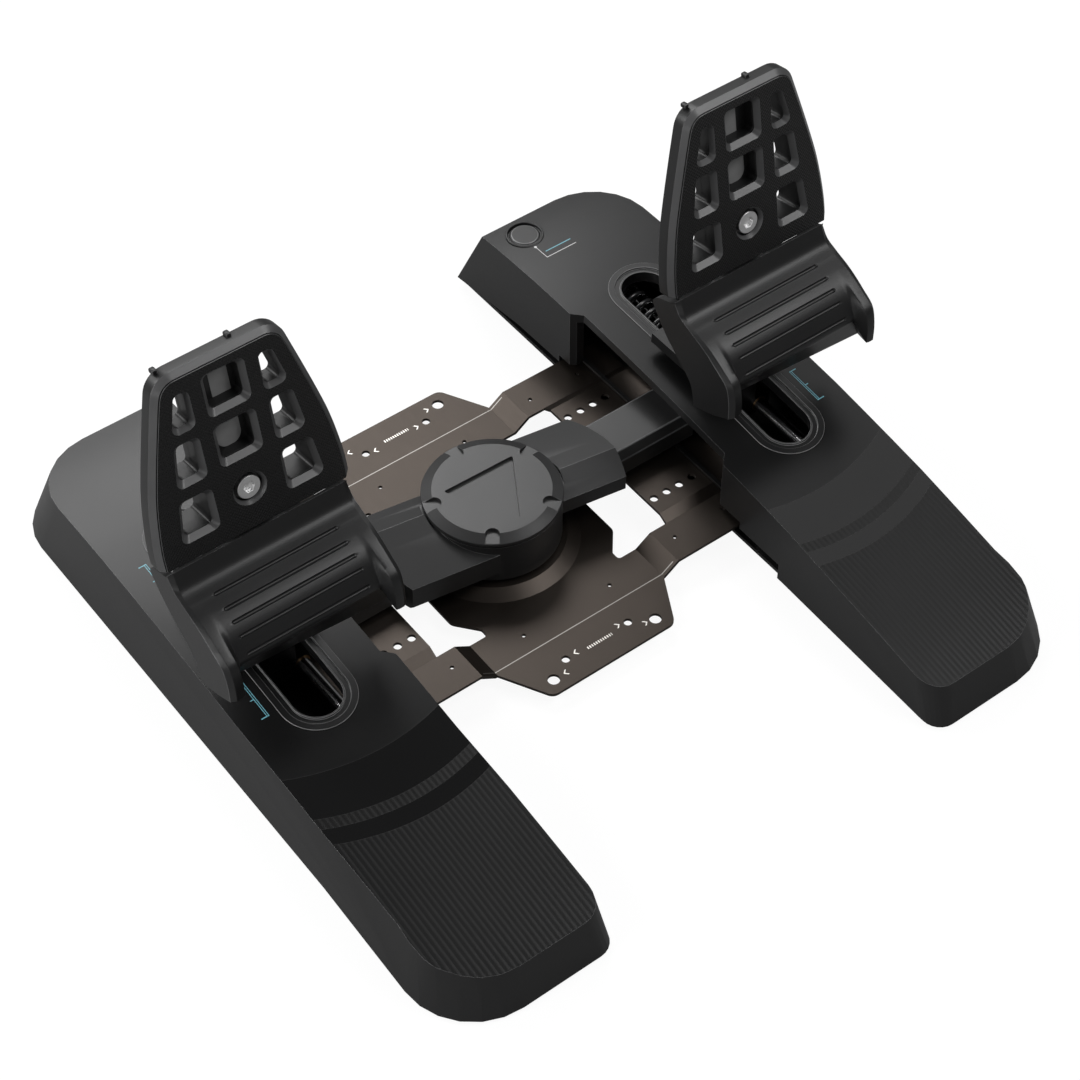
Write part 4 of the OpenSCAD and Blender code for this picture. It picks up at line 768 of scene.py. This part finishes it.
def heel_loop(share):
    """The section of the heel rest at one station, once round, as (across, depth, height)."""
    seat, front = along(scoop, share), along(wing, share)
    middle, rear = along(wing_mid, share), along(wing_back, share)
    inward = into_scoop(share)
    loop = []
    for u in all_across:
        y, z = between(seat, front, ease(abs(u), 42, 46))
        depth = groove_at(u, share)
        loop.append((u, y + inward[0] * depth, z + inward[1] * depth))
    reach = math.dist(front, middle)
    wing_side = [
        (u, *between(front, middle, step / max(reach, step)))
        for u, step in ((50.5, 0.12), (52.8, 2.6), (53, 2.9))
    ]
    wall = 3.4
    inner = (seat[0] + inward[0] * wall, seat[1] + inward[1] * wall)
    wing_side += [
        (53, *middle), (53, *rear), (49, *rear), (49, *between(middle, inner, 0.5)),
        (48.6, min(inner[0], rear[0]), inner[1]),
    ]
    return loop + wing_side + [(-u, y, z) for u, y, z in reversed(wing_side)]


def loft(name, loops, closed=False):
    """A skin through loops of points in mm, capped at both ends or run round on itself."""
    shape = bmesh.new()
    made = [[shape.verts.new([c / 1000 for c in point]) for point in loop] for loop in loops]
    skin(shape, made, closed)
    if not closed:
        shape.faces.new(made[0])
        shape.faces.new(made[-1])
    bmesh.ops.remove_doubles(shape, verts=shape.verts, dist=1e-6)
    bmesh.ops.recalc_face_normals(shape, faces=shape.faces)
    return as_object(name, shape)


for side, sign in sides.items():
    rest = loft(
        "heel_rest_" + side + "_shown",
        [
            [(sign * (1000 * pedal_x + u), y, z) for u, y, z in heel_loop(share)]
            for share in stations
        ],
    )
    smooth(rest, 40)
    pedal_satin.paint(stand_for(rest, "heel_rest_" + side))
    rest.data.materials.append(pedal_highlight.material)
    # The top lip and the rims of the wings get the lighter copy of the plastic as a painted
    # highlight.
    for face in rest.data.polygons:
        top_lip = face.center.z > 0.1464 and face.normal.z > 0.5
        wing_rim = abs(abs(face.center.x) - pedal_x) > 0.0526 and (
            abs(face.normal.x) < 0.97 and face.normal.y < 0.2)
        if top_lip or wing_rim:
            face.material_index = 1

# ------------------------------------------------------------------ pedals
# Each pedal is a moulded frame with a painted highlight on its bevel, a grip plate let into its
# face and a hollow spine behind. Eight openings go through both, and one socket screw holds them.
lean = math.radians(10.5)
face_up = 10.1
face_ahead = 14.6


def on_pedal(u, depth, v, sign):
    """A point in mm, from one across, behind and up the leaning face of a pedal."""
    y, z = depth - face_ahead, v + face_up
    return (
        sign * (1000 * pedal_x + u),
        y * math.cos(lean) + z * math.sin(lean) + 1000 * axle_y,
        z * math.cos(lean) - y * math.sin(lean) + 1000 * axle_z,
    )


def rounded(corners, radii, steps=8):
    """An outline with each corner rounded off in steps, or left sharp at radius 0."""
    points = []
    for k, (corner, radius) in enumerate(zip(corners, radii)):
        if not radius:
            points.append(corner)
            continue
        here = Vector(corner)
        back_to = (Vector(corners[k - 1]) - here).normalized()
        on_to = (Vector(corners[(k + 1) % len(corners)]) - here).normalized()
        half = back_to.angle(on_to) / 2
        middle = here + (back_to + on_to).normalized() * (radius / math.sin(half))
        start = here + back_to * (radius / math.tan(half)) - middle
        end = here + on_to * (radius / math.tan(half)) - middle
        for step in range(steps + 1):
            part = start.slerp(end, step / steps).normalized() * radius
            points.append((middle.x + part.x, middle.y + part.y))
    return points


# The face narrows upwards: shares of its height, and of its half width there.
face_half = 56
face_foot = -2
face_height = 106.6
narrowing = [(0, 1), (0.1, 1), (0.25, 0.972), (0.4, 0.926), (0.55, 0.858), (0.7, 0.782),
             (0.85, 0.703), (1, 0.622)]


def face_outline(inset):
    """The outline of the pedal's face, moved in by inset."""
    side = []
    for step in range(1, 17):
        share = 0.86 * step / 16
        at = max(k for k in range(7) if narrowing[k][0] <= share)
        low, high = narrowing[at][0], narrowing[at + 1][0]
        width = along(narrowing, at + (share - low) / (high - low))[1]
        side.append((face_half * width - inset, face_height * share + face_foot))
    top = face_height + face_foot - inset
    tip = face_half * narrowing[-1][1] - 0.85 * inset
    foot = face_foot + 0.2 * inset
    corners = [(-face_half + inset, foot), (face_half - inset, foot), *side]
    corners += [(tip, top), (-tip, top)] + [(-u, v) for u, v in reversed(side)]
    plain = [0] * len(side)
    foot_r = max(0.5, 3 - inset)
    top_r = 13 - inset
    return rounded(corners, [foot_r, foot_r, *plain, top_r, top_r, *plain])


def outer_side(v):
    """How far out the side openings reach at a height."""
    return 43 - 13.7 * v / 96.5 - 3 * max(0, v - 71.5) / 25


def openings(grow):
    """Outlines of the openings, larger by grow: two at the foot, then two rows of three."""
    cuts = []
    corner = 3.8 + grow * 0.4
    for v, height in ((9, 25), (41, 25), (71.5, 21.5)):
        top_row = v == 71.5
        out = max(grow, -1.6) if top_row else grow
        low, high = v - out, v + height + out
        near = 19.5 - out
        tight = min(corner, 0.46 * (outer_side(high) + out - near))
        right = rounded([
            (near, low), (outer_side(low) + out, low), (outer_side(high) + out, high), (near, high)
        ], [corner, corner, tight, tight], 6)
        cuts += [right, [(-u, z) for u, z in reversed(right)]]
        if v > 9:
            low, high = v - grow, v + 25 + grow
            wide = 12.2 + grow
            cuts.append(rounded(
                [(-wide, low), (wide, low), (wide, high), (-wide, high)], [corner] * 4, 6
            ))
    return cuts


def side_openings(grow):
    shapes = openings(grow)
    return [shapes[k] for k in (0, 1, 2, 3, 5, 6)]


def circle(radius, v):
    turns = [math.tau * k / 48 for k in range(48)]
    return [(radius * math.cos(turn), v + radius * math.sin(turn)) for turn in turns]


def cut_away(piece, cutters):
    """The cutters are joined, taken out of the piece and removed."""
    only(cutters[0])
    for cutter in cutters:
        cutter.select_set(True)
    bpy.ops.object.join()
    cut = piece.modifiers.new("openings", "BOOLEAN")
    cut.object = cutters[0]
    cut.solver = "EXACT"
    apply_all(piece)
    bpy.data.objects.remove(cutters[0])


def through_cuts(sign, stages):
    """Cutters for the openings, each lofted through (depth, growth) stages."""
    shapes = [openings(grow) for depth, grow in stages]
    return [
        loft("cutter", [
            [on_pedal(u, depth, v, sign) for u, v in shape[k]]
            for (depth, grow), shape in zip(stages, shapes)
        ])
        for k in range(len(shapes[0]))
    ]


def block(name, sign, low, high):
    """A box in the pedal's own directions, between two corners."""
    (u0, d0, v0), (u1, d1, v1) = low, high
    return loft(name, [
        [on_pedal(u, depth, v, sign) for u, v in ((u0, v0), (u1, v0), (u1, v1), (u0, v1))]
        for depth in (d0, d1)
    ])


grip = Finish("grip_knurled")
knurl_u = grip.axis("X")
knurl_v = grip.axis("Z") * 1.017
ridge_a = abs(((knurl_u + knurl_v) * 1480).wave())
ridge_b = abs(((knurl_u - knurl_v) * 1480).wave())
knurl = ridge_a * ridge_b
# The knurl is darker in its valleys and lighter on its ridges: painted shade.
grip.set(
    Base_Color=grip.mix(knurl, (0.003, 0.003, 0.003), (0.01, 0.01, 0.0103)),
    Roughness=knurl * -0.15 + 0.5,
)
grip.bump(knurl, 0.0004, 0.8)

clip_nylon = Finish("clip_nylon", Roughness=0.45)
clip_cloud = clip_nylon.grain(120, 3)
clip_nylon.set(Base_Color=clip_nylon.mix(clip_cloud, (0.3, 0.3, 0.3), (0.42, 0.42, 0.42)))
clip_nylon.bump(clip_nylon.grain(1500), 0.00003, 0.4)
screw_zinc = Finish("screw_zinc", Metallic=1.0)
screw_cloud = screw_zinc.grain(900, 3)
screw_zinc.set(
    Base_Color=screw_zinc.mix(screw_cloud, (0.7, 0.7, 0.7), (0.85, 0.85, 0.85)),
    Roughness=screw_cloud * 0.12 + 0.34,
)

# Faces turned this far towards the foot are bevels, and get a painted highlight: a lighter copy of
# the plastic.
toward = Vector((0, -math.cos(lean), math.sin(lean)))
bevel_from, bevel_to = 0.35, 0.95
plate_flat = 0.98
# The openings in the hollow back are walled, deepest at the foot.
wall_ends = (21, 21, 16, 16, 13.5, 13.5)
clip_outline = [(-7, 43.5), (7, 43.5), (7, 64), (3.6, 68), (3.6, 90), (-7, 90)]
for side, sign in sides.items():
    pedal = loft("pedal_frame_" + side + "_shown", [
        [on_pedal(u, depth, v, sign) for u, v in face_outline(inset)]
        for depth, inset in ((4, 3.2), (0.9, 3.2), (0.7, 3.0), (3.5, 0.1), (3.9, 0), (10.3, 0),
                             (10.8, 0.2), (11, 0.7))
    ])
    cut_away(pedal, through_cuts(sign, ((-2, -2.7), (13, -2.7))))
    soften(pedal, 0.0003, 2, 30)
    extras = [
        block("spine_foot", sign, (-9, 10.5, -10.1), (9, 18, 9)),
        block("spine", sign, (-13.5, 10.5, -0.6), (13.5, 18, 96.5)),
    ] + [
        block("nub", sign, (u - 1.5, 7, 104), (u + 1.5, 11, 106.6))
        for u in (-20.4 - sign * 9.8, 20.4 - sign * 9.8)
    ]
    for extra in extras:
        soften(extra, 0.0008, 3)
    for end, inner, outer in zip(wall_ends, side_openings(-2.7), side_openings(-1)):
        walls = loft("opening_wall", [
            [on_pedal(u, depth, v, sign) for u, v in shape]
            for depth, shape in ((10.5, inner), (end, inner), (end, outer), (10.5, outer))
        ], True)
        extras.append(smooth(walls))
    clip = loft("spine_clip_" + side, [
        [on_pedal(u, depth, v, sign) for u, v in rounded(clip_outline, [6, 6, 1, 1, 1, 1])]
        for depth in (10.4, 10.9)
    ])
    bpy.ops.mesh.primitive_cylinder_add(
        vertices=64, radius=0.0075, depth=0.02, location=(sign * pedal_x, axle_y, axle_z),
        rotation=(0, math.pi / 2, 0),
    )
    barrel = bpy.context.object
    only(barrel)
    bpy.ops.object.transform_apply(location=True, rotation=True, scale=True)
    soften(barrel, 0.0005, 2)
    only(pedal)
    for extra in extras + [barrel]:
        extra.select_set(True)
    bpy.context.view_layer.objects.active = pedal
    bpy.ops.object.join()
    pedal_satin.paint(stand_for(pedal, "pedal_frame_" + side))
    pedal.data.materials.append(pedal_highlight.material)
    for face in pedal.data.polygons:
        if bevel_from < face.normal.dot(toward) < bevel_to:
            face.material_index = 1

    plate = loft("grip_plate_" + side + "_shown", [
        [on_pedal(u, depth, v, sign) for u, v in face_outline(inset)]
        for depth, inset in ((0, 3.6), (0.2, 3.4), (3.9, 3.4))
    ])
    cuts = through_cuts(sign, ((-1, 0.9), (3, -2.7), (5, -2.7)))
    cuts.append(loft("recess", [
        [on_pedal(u, depth, v, sign) for u, v in circle(radius, 22)]
        for depth, radius in ((-1, 10.3), (2.4, 8), (5, 8))
    ]))
    cut_away(plate, cuts)
    smooth(plate, 30)
    grip.paint(stand_for(plate, "grip_plate_" + side))
    plate.data.materials.append(pedal_satin.material)
    plate.data.materials.append(pedal_highlight.material)
    # Faces turned towards the foot, short of the flat face, get the painted highlight.
    for face in plate.data.polygons:
        facing = face.normal.dot(toward)
        face.material_index = 0 if facing > plate_flat else 2 if facing > bevel_from else 1
    dressed("cap_screw_" + side, [screw_zinc], 0.0004)
    clip_nylon.paint(soften(clip, 0.0002))
    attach(clip, "pedal_" + side)
